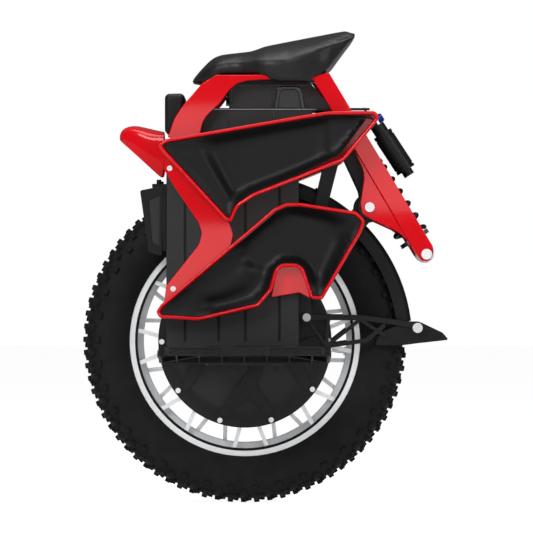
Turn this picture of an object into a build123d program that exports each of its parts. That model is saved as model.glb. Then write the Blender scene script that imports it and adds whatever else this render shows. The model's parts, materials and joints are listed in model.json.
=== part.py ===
from build123d import *
import os
from math import atan2, cos, degrees, hypot, radians, sin

# Electric unicycle with a sprung wheel and a seat. Millimetres, +Z up, -X forward,
# -Y the left side. The origin is on the ground, below the middle of the axle.

# ---------------------------------------------------------------- driving sizes
SLIDE_GAP = 0.3  # clearance between pieces that move past each other
SHAFT_GAP = 0.06  # radial running clearance of a shaft in its bore
SEAT_GAP = 0.2  # clearance between fixed pieces that lie against each other
REST_GAP = 0.05  # clearance of a piece that rests or clamps on another

TYRE_R = 265.0
TYRE_HALF_W = 46.0
RIM_R = 190.5
RIM_HALF_W = 35.5
BEAD_R = 181.0
HUB_R = 141.0
HUB_HALF_W = 38.0
COVER_T = 5.0
SPOKE_PAIRS = 8
SPOKE_W = 6.6
COVER_BOLTS = 10
COVER_BOLT_PCD_R = 135.5
MAGNET_R = 129.0
STATOR_R = 123.0
STATOR_HALF_W = 24.0
SLOTS = 27
AXLE_R = 12.5
BEARING_R = 26.0
BEARING_W = 12.0

LEG_IN, LEG_OUT = 52.5, 58.5  # swing arm plates, as distances from the middle plane
GUARD_IN_R, GUARD_T = 270.0, 3.0
GUARD_HALF_W = 50.5
PIVOT = (202.5, 482.7)  # swing arm pivot, x and z
SHOCK_LOW = (294.6, 406.5)
SHOCK_TOP = (157.4, 616.8)
PIVOT_R = 12.5
PIVOT_BOLT_R = 7.0
PIVOT_IN = 30.0  # the pivot is two stubs, one at each side of the spring
SHOCK_PIN_R = 8.0

CASE_IN, CASE_OUT = 66.0, 118.0  # battery case, as distances from the middle plane
CASE_X0, CASE_X1 = -126.5, 87.6
CASE_Z0, CASE_Z1 = 257.0, 604.0
SHOULDER_X, SHOULDER_Z = -64.0, 589.5  # lower front corner of the case, below the hoop's foot
WALL = 3.0
COVER_PLATE_T = 4.0
COVER_GROOVES = (-96.3, -42.0, 1.2, 56.2)
SIDE_PLATE_T = 3.0
PANEL_BOLTS = ((-121.0, 545.1), (-115.4, 350.6))
PAD_OUT = CASE_OUT + 34.0
PAD_WALL = 5.5
CORE_HALF_W = 79.0
DECK_X0 = -70.0
DECK_Z = 640.5
DECK_T = 3.5
BOX_HALF_W = 76.0
BOX_X0 = -25.6
BOX_TOP = 683.0
LID_TOP = 689.4
HOOP_IN, HOOP_OUT = 80.0, 100.0
GUSSET_IN, GUSSET_OUT = 88.0, 97.0

SEAT_HALF_W = 110.0
PEDAL_HINGE_Y, PEDAL_HINGE_Z = 150.0, 236.0
PEDAL_LEN, PEDAL_W, PEDAL_T = 274.0, 100.0, 14.0
PEDAL_TILT = 9.0
PEDAL_PIN_R = 5.0
TUBE_X, TUBE_Y, TUBE_R = -112.0, 58.3, 6.0
TUBE_Z0, TUBE_Z1 = 262.0, 602.0
LAMP_AXIS = (-146.0, 470.0)
BUTTON_R = 8.0
SOCKET_R, SOCKET_BORE_R = 10.0, 7.0
CAP_HINGE = (-29.9, 679.0)
PANEL_Y, PANEL_Z = 40.0, 664.0  # power button (left) and charge socket (right)


# ---------------------------------------------------------------- helpers
def outline(points):
    """Face in the XZ plane from corners (x, z) or (x, z, corner radius)."""
    corners = [(p[0], p[1]) for p in points]
    rounding = [p[2] if len(p) > 2 else 0 for p in points]
    line = FilletPolyline(*corners, radius=rounding, close=True)
    return Plane.XZ * make_face(line)


def plate(points, y0, y1):
    """Flat plate between the planes y0 and y1."""
    return extrude(Pos(0, y0, 0) * outline(points), y1 - y0, dir=(0, 1, 0))


def inset_plate(points, inset, y0, y1):
    """The same plate with its outline moved inwards."""
    face = offset(outline(points), amount=-inset, kind=Kind.INTERSECTION)
    return extrude(Pos(0, y0, 0) * face, y1 - y0, dir=(0, 1, 0))


def rod(radius, length, x, y, z, axis="y"):
    """Cylinder centred on a point, along x, y or z."""
    turn = {"x": Rot(0, 90, 0), "y": Rot(90, 0, 0), "z": Rot(0, 0, 0)}[axis]
    return Pos(x, y, z) * turn * Cylinder(radius, length)


def block(x0, x1, y0, y1, z0, z1):
    centre = Pos((x0 + x1) / 2, (y0 + y1) / 2, (z0 + z1) / 2)
    return centre * Box(x1 - x0, y1 - y0, z1 - z0)


def bar(a, b, width, y0, y1):
    """Straight bar with round ends in the XZ plane, from a to b."""
    length = hypot(b[0] - a[0], b[1] - a[1])
    turn = -degrees(atan2(b[1] - a[1], b[0] - a[0]))
    middle = Pos((a[0] + b[0]) / 2, (y0 + y1) / 2, (a[1] + b[1]) / 2)
    body = Box(length, y1 - y0, width)
    ends = Pos(-length / 2, 0, 0) * Rot(90, 0, 0) * Cylinder(width / 2, y1 - y0)
    ends += Pos(length / 2, 0, 0) * Rot(90, 0, 0) * Cylinder(width / 2, y1 - y0)
    return middle * Rot(0, turn, 0) * (body + ends)


def on_wheel(shape):
    """Moves a piece drawn round the origin to the axle."""
    return Pos(0, 0, TYRE_R) * shape


def turned(points, arc=360):
    """Solid turned about Y from corners (radius, y)."""
    return revolve(make_face(Polyline(*points, close=True)), Axis.Y, arc)


def ring(r0, r1, y0, y1):
    return turned([(r0, y0), (r1, y0), (r1, y1), (r0, y1)])


def both_sides(shape):
    """The left piece and its mirror image, as separate solids."""
    twin = mirror(shape, about=Plane.XZ)
    return Compound(children=list(shape.solids()) + list(twin.solids()))


def right_of(shape):
    return mirror(shape, about=Plane.XZ)


def save(shape, name):
    export_step(shape, f"parts/{name}.step")


def group(pieces):
    return Compound(children=[s for piece in pieces for s in piece.solids()])


def polar(radius, angle):
    return radius * cos(radians(angle)), radius * sin(radians(angle))


# ---------------------------------------------------------------- wheel
def tyre():
    crown, shoulder, wide = TYRE_R, TYRE_R - 17, TYRE_R - 45
    with BuildPart() as made:
        with BuildSketch(Plane.XY):
            with BuildLine():
                foot, seat = RIM_R + 1.2, RIM_HALF_W - 4.0
                l1 = Line((BEAD_R, seat - 8), (BEAD_R, seat))
                l2 = Line(l1 @ 1, (foot, seat))
                side = (wide, TYRE_HALF_W)
                l3 = ThreePointArc(l2 @ 1, side, (shoulder, TYRE_HALF_W - 6))
                l4 = ThreePointArc(l3 @ 1, (crown, 0), (shoulder, 6 - TYRE_HALF_W))
                l5 = ThreePointArc(l4 @ 1, (wide, -TYRE_HALF_W), (foot, -seat))
                l6 = Line(l5 @ 1, (BEAD_R, -seat))
                l7 = Line(l6 @ 1, (BEAD_R, 8 - seat))
                inner = (foot + 3, 8 - seat)
                l8 = Line(l7 @ 1, inner)
                l9 = ThreePointArc(l8 @ 1, (wide, 8 - TYRE_HALF_W), (shoulder - 11, 13 - TYRE_HALF_W))
                l10 = ThreePointArc(l9 @ 1, (crown - 16, 0), (shoulder - 11, TYRE_HALF_W - 13))
                l11 = ThreePointArc(l10 @ 1, (wide, TYRE_HALF_W - 8), (foot + 3, seat - 8))
                Line(l11 @ 1, l1 @ 0)
            make_face()
        revolve(axis=Axis.Y)
    return on_wheel(made.part)


def inner_tube():
    """Thin air tube inside the tyre, round the rim."""

    def section(inset):
        low, high = RIM_R + 4 + inset, TYRE_R - 22.4 - inset
        half = TYRE_HALF_W - 22 - inset
        inner = [(low, 8 - half), (low + 10, -half), (high, -half)]
        return inner + [(high, half), (low + 10, half), (low, half - 8)]

    return on_wheel(turned(section(0)) - turned(section(2.5)))


def spoke(side, outer_angle, inner_angle):
    """One flat spoke on the side -1 (left) or 1 (right)."""
    a = polar(HUB_R - 3, inner_angle)
    b = polar(BEAD_R - 5.3, outer_angle)
    ys = sorted((side * (RIM_HALF_W - 9.5), side * (RIM_HALF_W - 1.5)))
    return bar(a, b, SPOKE_W, *ys)


def rim():
    """Cast rim with its spokes and the motor's outer ring."""
    w, seat, wall = RIM_HALF_W, RIM_HALF_W - 3.7, 3.8
    deep = BEAD_R - 11
    half = [(RIM_R, w), (RIM_R, w - 3.5), (BEAD_R - 0.2, seat), (BEAD_R - 0.2, seat - 8), (deep, 17)]
    inside = [(deep - wall, 16), (BEAD_R - wall - 1, seat - 7), (BEAD_R - wall - 1, w)]
    outer = half + [(r, -y) for r, y in reversed(half)]
    inner = [(r, -y) for r, y in reversed(inside)] + inside
    made = turned(outer + inner)
    made += ring(HUB_R - 8, HUB_R, -HUB_HALF_W, HUB_HALF_W)
    step = 360 / SPOKE_PAIRS
    for k in range(SPOKE_PAIRS):
        for side, base in ((-1, -42.0), (1, -19.6)):
            for way in (-1, 1):
                middle = base - k * step
                made += spoke(side, middle + way * 8.8, middle + way * 6.0)
    valve = rod(4.2, 40, 0, 0, 0, "z")
    made -= Rot(0, 96, 0) * Pos(0, 0, deep - 2) * valve
    return on_wheel(made)


def valve_stem():
    """Valve through the middle of the rim's barrel, with its flange and nut."""
    deep = BEAD_R - 11
    flange = stack(7, deep + 0.1, deep + 3)
    nut = stack(7, deep - 7, deep - 4.1)
    made = stack(4, deep - 22, deep + 2) + stack(3.2, deep - 27, deep - 22) + flange + nut
    return on_wheel(Rot(0, 96, 0) * made)


def y_rib(turn):
    """Raised Y on the motor cover: two feet at the bolts and one stem."""
    points = [(-45.5, -119), (3.8, -51.5, 12), (12, -29, 6), (31, -37, 6), (27.3, -51.5, 12)]
    points += [(19, -74.4, 10), (50, -117), (37, -121.5, 4), (7, -92, 6), (-33, -123, 4)]
    inner = HUB_HALF_W + COVER_T - 0.5
    return Rot(0, turn, 0) * plate(points, -inner - 3.5, -inner)


def motor_cover():
    """Dished cover of the motor with five Y ribs and grooves near its edge."""
    y0, y1 = HUB_HALF_W + 0.1, HUB_HALF_W + COVER_T
    bore = BEARING_R + SEAT_GAP
    points = [(bore, y0 - 12), (bore + 6, y0 - 12), (bore + 10, y0), (HUB_R + 0.4, y0)]
    points += [(HUB_R + 0.4, y1 - 1), (HUB_R - 1, y1), (116, y1), (104, y1 - 2.5)]
    points += [(48, y1 - 2.5), (42, y1), (bore, y1)]
    made = turned([(r, -y) for r, y in points])
    for groove in (122.5, 127.5):
        made -= ring(groove, groove + 1.6, -y1 - 1, 1.2 - y1)
    for k in range(5):
        made += y_rib(72 * k)
    for k in range(COVER_BOLTS):
        x, z = polar(COVER_BOLT_PCD_R, -35.5 - 36 * k)
        made -= rod(2.6, 30, x, -y0, z)
    return on_wheel(made)


def cover_bolts():
    """Round-headed bolts that hold both motor covers."""
    out = HUB_HALF_W + COVER_T
    pieces = []
    for k in range(COVER_BOLTS):
        x, z = polar(COVER_BOLT_PCD_R, -35.5 - 36 * k)
        head = rod(4.3, 3, x, -out - 1.6, z)
        shank = rod(2.5, 4.8, x, -out + 2.3, z)
        pieces.append(head + shank)
    return on_wheel(both_sides(group(pieces)))


def magnet_ring():
    return on_wheel(ring(MAGNET_R - 3.5, MAGNET_R + 3.9, -STATOR_HALF_W - 4, STATOR_HALF_W + 4))


def stator():
    """Laminated core with a tooth between each two slots."""
    made = ring(AXLE_R + SEAT_GAP, STATOR_R, -STATOR_HALF_W, STATOR_HALF_W)
    made -= ring(34, 78, -STATOR_HALF_W - 1, 4 - STATOR_HALF_W + 14)
    made -= ring(34, 78, STATOR_HALF_W - 18, STATOR_HALF_W + 1)
    for k in range(SLOTS):
        slot = Pos(STATOR_R - 13.5, 0, 0) * Box(30, 2 * STATOR_HALF_W + 2, 9)
        made -= Rot(0, 360 / SLOTS * k, 0) * slot
    return on_wheel(made)


def windings():
    """Coil ends, one on each tooth at both faces of the core."""
    pieces = []
    for k in range(SLOTS):
        coil = Pos(STATOR_R - 17, 0, 0) * Box(20, 7, 11.5)
        turn = Rot(0, 360 / SLOTS * (k + 0.5), 0)
        for side in (-1, 1):
            pieces.append(turn * Pos(0, side * (STATOR_HALF_W + 3.7), 0) * coil)
    return on_wheel(group(pieces))


def bearing():
    y1 = -(HUB_HALF_W + COVER_T) + 1
    y0 = y1 + BEARING_W
    outer = ring(AXLE_R + SHAFT_GAP, BEARING_R, y0, y1)
    outer -= ring(18, 21, y1 - 1, y1 + 1.5)
    outer -= ring(18, 21, y0 - 1.5, y0 + 1)
    return on_wheel(outer)


# ---------------------------------------------------------------- swing arm body
def axle():
    """Axle with a nut and a washer at each end."""
    shaft = rod(AXLE_R, 2 * LEG_OUT + 10, 0, 0, TYRE_R)
    nuts = []
    for side in (-1, 1):
        y = side * (LEG_OUT + 0.85)
        washer = rod(20, 1.5, 0, y, TYRE_R) - rod(AXLE_R + 0.1, 3, 0, y, TYRE_R)
        face = Rot(90, 0, 0) * extrude(RegularPolygon(19, 6), 4)
        nut = Pos(0, LEG_OUT + 5.8, TYRE_R) * face
        nut = nut if side > 0 else mirror(nut, about=Plane.XZ)
        nut -= rod(AXLE_R + 0.1, 30, 0, side * (LEG_OUT + 4), TYRE_R)
        nuts += [washer, nut]
    return group([shaft] + nuts)


def swing_leg():
    """Left plate of the swing arm: leg, strut, lever and the tab for the stay."""
    a, j = (0, TYRE_R), (95, 367)
    y0, y1 = -LEG_OUT, -LEG_IN
    made = bar(a, PIVOT, 34, y0, y1) + rod(30, y1 - y0, 0, -(LEG_IN + LEG_OUT) / 2, TYRE_R)
    strut = [(80, 372), (112, 372), (123, 440), (135.6, 488), (152.1, 552.4), (172, 617)]
    strut += [(163, 631, 6), (150, 631, 5), (142, 617), (125.3, 539.7), (113.9, 490.3)]
    made += plate(strut, y0, y1)
    lever = [(146, 603), (162.7, 559.6, 10), (185.5, 510.3, 12), (188, 496.5, 8), (180, 478)]
    lever += [(224, 478), (222, 496), (213, 522, 30), (196, 560, 30), (176, 612)]
    made += plate(lever, y0, y1)
    made += rod(24, y1 - y0, PIVOT[0], -(LEG_IN + LEG_OUT) / 2, PIVOT[1])
    made += bar((92, 352), (100.6, 303.7), 22, y0, y1)
    made += plate([(110, 360), (110, 395, 6), (150, 440, 6), (150, 402)], y0, y1)
    return made


def swing_arm():
    """Both plates, the pivot tube, the spacers of the upper shock pin and the guard rod."""
    leg = swing_leg()
    made = leg + right_of(leg)
    made += rod(19, 2 * (GUSSET_IN - SLIDE_GAP), PIVOT[0], 0, PIVOT[1])
    made -= rod(30, 2 * PIVOT_IN, PIVOT[0], 0, PIVOT[1])
    made += rod(12, 2 * LEG_IN, SHOCK_TOP[0], 0, SHOCK_TOP[1])
    made -= rod(40, 2 * (HEAD_HALF_W + SLIDE_GAP), SHOCK_TOP[0], 0, SHOCK_TOP[1])
    guard = (135.0, 524.0)
    made += rod(6, 2 * LEG_IN, guard[0], 0, guard[1])
    reach = hypot(guard[0], guard[1] - TYRE_R)
    turn = -degrees(atan2(guard[1] - TYRE_R, guard[0]))
    foot = GUARD_IN_R + GUARD_T + REST_GAP
    lug = Pos((foot + reach) / 2, 0, 0) * Box(reach - foot, 40, 5)
    lug += Pos(foot + 1.5, 0, 0) * Box(3, 40, 26)
    made += on_wheel(Rot(0, turn, 0) * lug)
    made -= rod(PIVOT_R + SHAFT_GAP, 300, PIVOT[0], 0, PIVOT[1])
    made -= rod(SHOCK_PIN_R + 0.1, 300, SHOCK_TOP[0], 0, SHOCK_TOP[1])
    made -= rod(AXLE_R + 0.1, 300, 0, 0, TYRE_R)
    for side in (-1, 1):
        made -= rod(4.1, 12, 100.6, side * (LEG_IN + LEG_OUT) / 2, 303.7)
        slot = bar((52, TYRE_R + 56), (72, TYRE_R + 77.5), 12, LEG_IN - 1, LEG_OUT + 1)
        made -= slot if side > 0 else right_of(slot)
    return made


def mudguard():
    """Curved guard over the top and rear of the tyre, with inward side bands."""
    r0, r1, w = GUARD_IN_R, GUARD_IN_R + GUARD_T, GUARD_HALF_W
    low = r0 - 21
    points = [(low, -w), (r1 - 6, -w), (r1, -w + 6), (r1, w - 6), (r1 - 6, w), (low, w)]
    points += [(low, w - 2.5), (r0 - 5, w - 2.5), (r0, w - 8)]
    points += [(r0, 8 - w), (r0 - 5, 2.5 - w), (low, 2.5 - w)]
    made = turned(points, 93)
    return on_wheel(Rot(0, -100, 0) * made)


def stay():
    """Left triangular stay from the swing arm to the tail."""
    y0, y1 = -LEG_OUT - 4.2, -LEG_OUT - 0.2
    top = [(100.6, 303.7), (188, 303.5), (281.1, 290.5)]
    made = rod(8, y1 - y0, 100.6, (y0 + y1) / 2, 303.7)
    made += rod(9, y1 - y0, 281.1, (y0 + y1) / 2, 286.8)
    links = [(top[0], top[1], 9), (top[1], top[2], 9), ((133, 257), (198, 266.5), 7)]
    links += [((198, 266.5), (226, 290), 7), ((133, 257), (186, 299), 6), ((190, 299), (228, 274), 6)]
    links += [(top[0], (133, 257), 6), ((133, 257), (136, 300), 6)]
    for a, b, width in links:
        made += bar(a, b, width, y0, y1)
    made -= rod(4.1, 20, 100.6, y0, 303.7)
    made -= rod(3.1, 20, 281.1, y0, 286.8)
    return made


def tail_fender():
    """Tail behind the guard: two side wings and a bridge behind the tyre."""
    wing = [(212, 258, 3), (214.3, 267, 3), (221, 280, 6), (262, 296, 8), (286.3, 296, 8)]
    wing += [(322, 279, 10), (332.1, 267.2, 2), (285, 262), (262, 259)]
    y0, y1 = -LEG_OUT, -GUARD_HALF_W - SEAT_GAP
    left = plate(wing, y0, y1)
    bridge = [(276.5, 296), (286.3, 296, 8), (322, 279, 10), (332.1, 267.2, 2), (286, 262), (276.5, 262)]
    inner = [(276.5, 290), (284, 291), (316, 275.5), (322, 270), (286, 267.5), (276.5, 267.5)]
    hollow = plate([(275, 285.0)] + inner[1:-1] + [(275, 267.5)], -LEG_IN, LEG_IN)
    made = left + right_of(left) + plate(bridge, -LEG_OUT, LEG_OUT) - hollow
    made -= on_wheel(ring(150, GUARD_IN_R + GUARD_T + SEAT_GAP, -GUARD_HALF_W - 0.1, GUARD_HALF_W + 0.1))
    for side in (-1, 1):
        made -= rod(3.1, 14, 281.1, side * 56, 286.8)
    return made


def stay_bolts():
    """Bolts at both ends of the stays, each pair on both sides."""
    top = -LEG_OUT - 4.2
    pieces = []
    for x, z, r in ((100.6, 303.7, 4.0), (281.1, 286.8, 3.0)):
        pieces.append(rod(r, 8, x, top + 4, z) + rod(r + 2.6, 2.5, x, top - 1.3, z))
    return both_sides(group(pieces))


def tail_reflectors():
    """Round reflectors with a hollow back that covers the stay's rear bolt."""
    y1 = -LEG_OUT - 4.4
    disc = rod(8.2, 9, 281.1, y1 - 4.5, 286.8) - rod(6.2, 8, 281.1, y1, 286.8)
    return both_sides(disc)


# ---------------------------------------------------------------- shock
HEAD_HALF_W = 16.0
EYE_HALF_W = 14.0
SHOCK_LEN = hypot(SHOCK_TOP[0] - SHOCK_LOW[0], SHOCK_TOP[1] - SHOCK_LOW[1])
SHOCK_TURN = degrees(atan2(SHOCK_TOP[0] - SHOCK_LOW[0], SHOCK_TOP[1] - SHOCK_LOW[1]))
SHOCK_SHAFT_R = 7.0
DAMPER_R = 15.0
SPRING_R, WIRE_R, SPRING_PITCH = 22.5, 3.8, 23.5
SPRING_LOW, SPRING_HIGH = 38.0, 161.0
RESERVOIR_OFFSET, RESERVOIR_R = 50.0, 16.5


def on_shock(shape):
    """Moves a piece drawn along +Z from the origin onto the shock's axis."""
    return Pos(SHOCK_LOW[0], 0, SHOCK_LOW[1]) * Rot(0, SHOCK_TURN, 0) * shape


def stack(r, z0, z1):
    return Pos(0, 0, (z0 + z1) / 2) * Cylinder(r, z1 - z0)


def shock_shaft():
    """Lower eye, spring cup, damper shaft and piston."""
    made = Rot(90, 0, 0) * Cylinder(14, 2 * EYE_HALF_W) + Pos(0, 0, 18) * Box(18, 24, 20)
    made += stack(26.5, 27, SPRING_LOW - WIRE_R - 0.3)
    made += stack(SHOCK_SHAFT_R, 20, 190) + stack(12.3, 188, 198)
    made -= Rot(90, 0, 0) * Cylinder(SHOCK_PIN_R + SHAFT_GAP, 60)
    return on_shock(made)


def shock_body():
    """Damper body with its head, and the bridge that carries the reservoir."""
    made = stack(DAMPER_R, 76, SHOCK_LEN - 14)
    made += stack(26.5, SPRING_HIGH + WIRE_R + 0.3, SPRING_HIGH + WIRE_R + 6)
    made += Pos(0, 0, SHOCK_LEN) * Rot(90, 0, 0) * Cylinder(18, 2 * HEAD_HALF_W)
    made += Pos(0, 0, SHOCK_LEN - 16) * Box(30, 28, 16)
    made += Pos(RESERVOIR_OFFSET / 2 + 4, 0, SHOCK_LEN - 24) * Box(RESERVOIR_OFFSET - 4, 22, 15)
    made -= stack(SHOCK_SHAFT_R + SHAFT_GAP, 70, 95)
    made -= stack(12.4, 88, 216)
    made -= Pos(0, 0, SHOCK_LEN) * Rot(90, 0, 0) * Cylinder(SHOCK_PIN_R + 1.1, 60)
    return on_shock(made)


def preload_collar():
    """Two threaded rings above the spring seat."""
    low = SPRING_HIGH + WIRE_R + 6.1
    upper = stack(21, low + 7.2, low + 12) - stack(DAMPER_R + 0.1, low, low + 20)
    lower = stack(23, low, low + 7) - stack(DAMPER_R + 0.1, low - 2, low + 20)
    for k in range(6):
        notch = Rot(0, 0, 60 * k) * Pos(23, 0, low + 4) * Box(4, 5, 5)
        lower -= notch
    return on_shock(group([lower, upper]))


def reservoir():
    """Gas reservoir beside the damper, with ring steps and an end cap."""
    made = stack(RESERVOIR_R, 132, 204) + stack(12, 203, SHOCK_LEN - 31.6) + stack(9, 122, 133)
    for z in (137, 196):
        made -= stack(RESERVOIR_R + 1, z, z + 2) - stack(RESERVOIR_R - 1.2, z - 1, z + 3)
    return on_shock(Pos(RESERVOIR_OFFSET, 0, 0) * made)


def spring():
    """Coil spring, drawn between the two cups."""
    height = SPRING_HIGH - SPRING_LOW
    path = Helix(SPRING_PITCH, height, SPRING_R)
    wire = sweep(Plane(path @ 0, z_dir=path % 0) * Circle(WIRE_R), path=path)
    return on_shock(Pos(0, 0, SPRING_LOW) * wire)


def damping_knob():
    """Blue adjuster on the end of the bridge."""
    knob = Cylinder(7.5, 8) + Pos(0, 0, 4.5) * Cylinder(6, 2)
    for k in range(8):
        knob -= Rot(0, 0, 45 * k) * Pos(8.2, 0, 0) * Cylinder(1.6, 12)
    reach = RESERVOIR_OFFSET + 6 + SLIDE_GAP
    return on_shock(Pos(reach + 4, 0, SHOCK_LEN - 24) * Rot(0, 90, 0) * knob)


# ---------------------------------------------------------------- chassis
def hoop():
    """Left hoop: front leg, top rail and the rear bar with its gusset."""
    front = [(-124.8, 596), (-113.6, 626.6, 20), (-98.8, 648.9, 30), (-74.7, 676.7, 20)]
    front += [(-68.5, 683.6), (-46, 696.8, 6), (120, 696.8), (136.5, 700.6, 3)]
    rear = [(304.1, 420.4), (306.5, 412, 10), (300.5, 395.5, 8), (287, 394.8, 8), (278.1, 406.8)]
    inner = [(138.7, 643.8), (111, 689.5, 6), (29.5, 689.5), (4.8, 687.9, 30), (-11.7, 683.8, 15)]
    inner += [(-24.1, 673.5, 15), (-39.5, 652.6, 20), (-61.8, 630.4, 20), (-68.2, 619.2, 15)]
    inner += [(-72, 603.5), (-71, 596)]
    made = plate(front + rear + inner, -HOOP_OUT, -HOOP_IN)
    gusset = [(176, 578), (192.1, 543, 40), (193.3, 529.4, 40), (187.6, 488, 15), (189.5, 473, 12)]
    gusset += [(198, 466.5, 10), (242, 446.6), (262.5, 431.9, 12), (268.1, 420.4), (290, 412), (230, 520)]
    made += plate(gusset, -GUSSET_OUT, -GUSSET_IN)
    made += block(-121, -75, -HOOP_OUT, -HOOP_IN, SHOULDER_Z + SEAT_GAP, 597)
    made -= rod(PIVOT_BOLT_R + REST_GAP, 80, PIVOT[0], -90, PIVOT[1])
    made -= rod(SHOCK_PIN_R + 0.1, 80, SHOCK_LOW[0], -90, SHOCK_LOW[1])
    return made


def cross_tubes():
    """Tubes between the hoops, at the front and below the seat's rear."""
    pieces = []
    for x, z, r in ((-82, 630, 8), (138, 672, 8)):
        pieces.append(rod(r, 2 * HOOP_IN - 0.2, x, 0, z))
    return group(pieces)


def pivot_bolts():
    """Pivot stubs of the swing arm and the lower shock bolt, with round heads and spacers."""
    pieces = []
    for side in (-1, 1):
        x, z = PIVOT
        y0, y1 = PIVOT_IN + 0.5, GUSSET_IN - 0.1
        stub = rod(PIVOT_R, y1 - y0, x, side * (y0 + y1) / 2, z)
        stub += rod(PIVOT_BOLT_R, GUSSET_OUT - y1 + 2, x, side * (GUSSET_OUT + y1) / 2, z)
        stub += rod(7.8, 4, x, side * (GUSSET_OUT + 2.1), z)
        stub += rod(15.5, 2.2, x, side * (PIVOT_IN - 1.4), z)
        stub += rod(PIVOT_R, 2, x, side * PIVOT_IN, z)
        pieces.append(stub)
        x, z = SHOCK_LOW
        y0, y1 = EYE_HALF_W + SLIDE_GAP, HOOP_IN - 0.1
        spacer = rod(13, y1 - y0, x, side * (y0 + y1) / 2, z)
        pieces.append(spacer - rod(SHOCK_PIN_R + REST_GAP, 200, x, 0, z))
    x, z = SHOCK_LOW
    bolt = rod(SHOCK_PIN_R, 2 * HOOP_OUT + 1, x, 0, z)
    for side in (-1, 1):
        bolt += rod(8.6, 4, x, side * (HOOP_OUT + 2.1), z)
    pieces.append(bolt)
    return group(pieces)


def shock_pin():
    """Pin through the swing arm's spacers and the damper's head."""
    made = rod(SHOCK_PIN_R, 2 * LEG_OUT + 3, SHOCK_TOP[0], 0, SHOCK_TOP[1])
    for side in (-1, 1):
        made += rod(12, 4, SHOCK_TOP[0], side * (LEG_OUT + 2.2), SHOCK_TOP[1])
    return made


def case_outline(inset):
    """Side outline of the case, moved inwards, with a low shoulder at the front."""
    x0, x1 = CASE_X0 + inset, CASE_X1 - inset
    z0, z1 = CASE_Z0 + inset, CASE_Z1 - inset
    step_x, step_z = SHOULDER_X + inset, SHOULDER_Z - inset
    return [(x0, z0, 6), (x1, z0, 6), (x1, z1, 6), (step_x, z1, 3), (step_x, step_z), (x0, step_z, 6)]


def battery_case():
    """Left case: inner wall and rim, open outwards."""
    made = plate(case_outline(0), -CASE_OUT, -CASE_IN)
    return made - plate(case_outline(WALL), -CASE_OUT - 1, -CASE_IN - WALL)


def battery_cover():
    """Outer plate of the left case with upright grooves."""
    y0, y1 = -CASE_OUT - COVER_PLATE_T, -CASE_OUT - REST_GAP
    made = plate(case_outline(0), y0, y1)
    made = chamfer(made.faces().sort_by(Axis.Y)[0].edges(), 1.2)
    for x in COVER_GROOVES:
        made -= block(x - 1.5, x + 1.5, y0 - 1, y0 + 1.8, CASE_Z0 + 9, SHOULDER_Z - 20)
    return made


def battery_packs():
    """Four wrapped cell blocks in each case, on its floor."""
    x0, x1 = CASE_X0 + WALL + 2, CASE_X1 - WALL - 2
    z0, z1 = CASE_Z0 + WALL + SEAT_GAP, SHOULDER_Z - WALL - 4
    step = (z1 - z0) / 4
    pieces = []
    for k in range(4):
        low = z0 + k * step
        cells = block(x0, x1, -CASE_OUT + 3, -CASE_IN - WALL - 1, low, low + step - 0.6)
        pieces.append(fillet(cells.edges().filter_by(Axis.Y), 6))
    return both_sides(group(pieces))


def frame_core():
    """Box beam that stands on both cases and carries the deck."""
    z0 = CASE_Z1 + REST_GAP
    z1 = DECK_Z - REST_GAP
    x0, x1 = DECK_X0, 110.0
    y1 = CORE_HALF_W - WALL
    made = block(x0, x1, -CORE_HALF_W, CORE_HALF_W, z0, z1)
    return made - block(x0 + WALL, x1 - WALL, -y1, y1, z0 + WALL, z1 + 1)


def heat_sink():
    """Finned sink that hangs from the deck inside the beam."""
    z1 = DECK_Z - 0.1
    made = block(-20, 90, -55, 55, z1 - 6, z1)
    for k in range(12):
        y = -52.5 + k * 9.545
        made += block(-20, 90, y - 1, y + 1, z1 - 26, z1 - 5)
    return made


def deck_plate():
    """Thin deck with a slot at the rear for the swing arm's lever."""
    made = block(DECK_X0, 202.8, -HOOP_IN + 0.3, HOOP_IN - 0.3, DECK_Z, DECK_Z + DECK_T)
    made -= block(116, 210, -66, 66, DECK_Z - 5, DECK_Z + DECK_T + 5)
    return made


def control_box():
    """Housing of the electronics above the deck, with an arched scoop on each side."""
    floor = DECK_Z + DECK_T + REST_GAP
    outer = [(BOX_X0, floor), (BOX_X0, BOX_TOP), (108, BOX_TOP, 3), (124.8, 662.6)]
    outer += [(138, 652), (138, floor)]
    made = plate(outer, -BOX_HALF_W, BOX_HALF_W)
    low = DECK_Z + DECK_T + WALL
    inner_x = BOX_X0 + WALL
    inner = [(inner_x, low), (inner_x, BOX_TOP + 1), (104, BOX_TOP + 1), (120, 661)]
    inner += [(130, 652), (130, low)]
    made -= plate(inner, -BOX_HALF_W + WALL, BOX_HALF_W - WALL)
    arch = [(49.1, low), (50.7, 656), (54.5, 678, 7), (89, 678, 7), (94, 656), (95.2, low)]
    hollow = [(56, low - 1), (56, 656), (59, 673, 6), (85, 673, 6), (88, 656), (88, low - 1)]
    scoop = plate(arch, -BOX_HALF_W - 3, -BOX_HALF_W) - plate(hollow, -BOX_HALF_W - 4, -BOX_HALF_W + 1.2)
    made += scoop + right_of(scoop)
    made -= rod(BUTTON_R + SLIDE_GAP, 20, -25, -PANEL_Y, PANEL_Z, "x")
    made -= rod(SOCKET_R + SEAT_GAP, 20, -25, PANEL_Y, PANEL_Z, "x")
    collar = rod(BUTTON_R + 3.5, 2.5, -26.8, -PANEL_Y, PANEL_Z, "x")
    made += collar - rod(BUTTON_R + SLIDE_GAP, 8, -26.8, -PANEL_Y, PANEL_Z, "x")
    made += block(-18, -15, -55, -25, low - 1, 676)
    return made


def control_lid():
    low = BOX_TOP + REST_GAP
    lid = [(BOX_X0, low), (BOX_X0, LID_TOP - 3, 2), (-21, LID_TOP, 2), (46, LID_TOP, 3)]
    lid += [(106, BOX_TOP + 2.4, 1), (106, low)]
    return plate(lid, -BOX_HALF_W, BOX_HALF_W)


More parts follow.
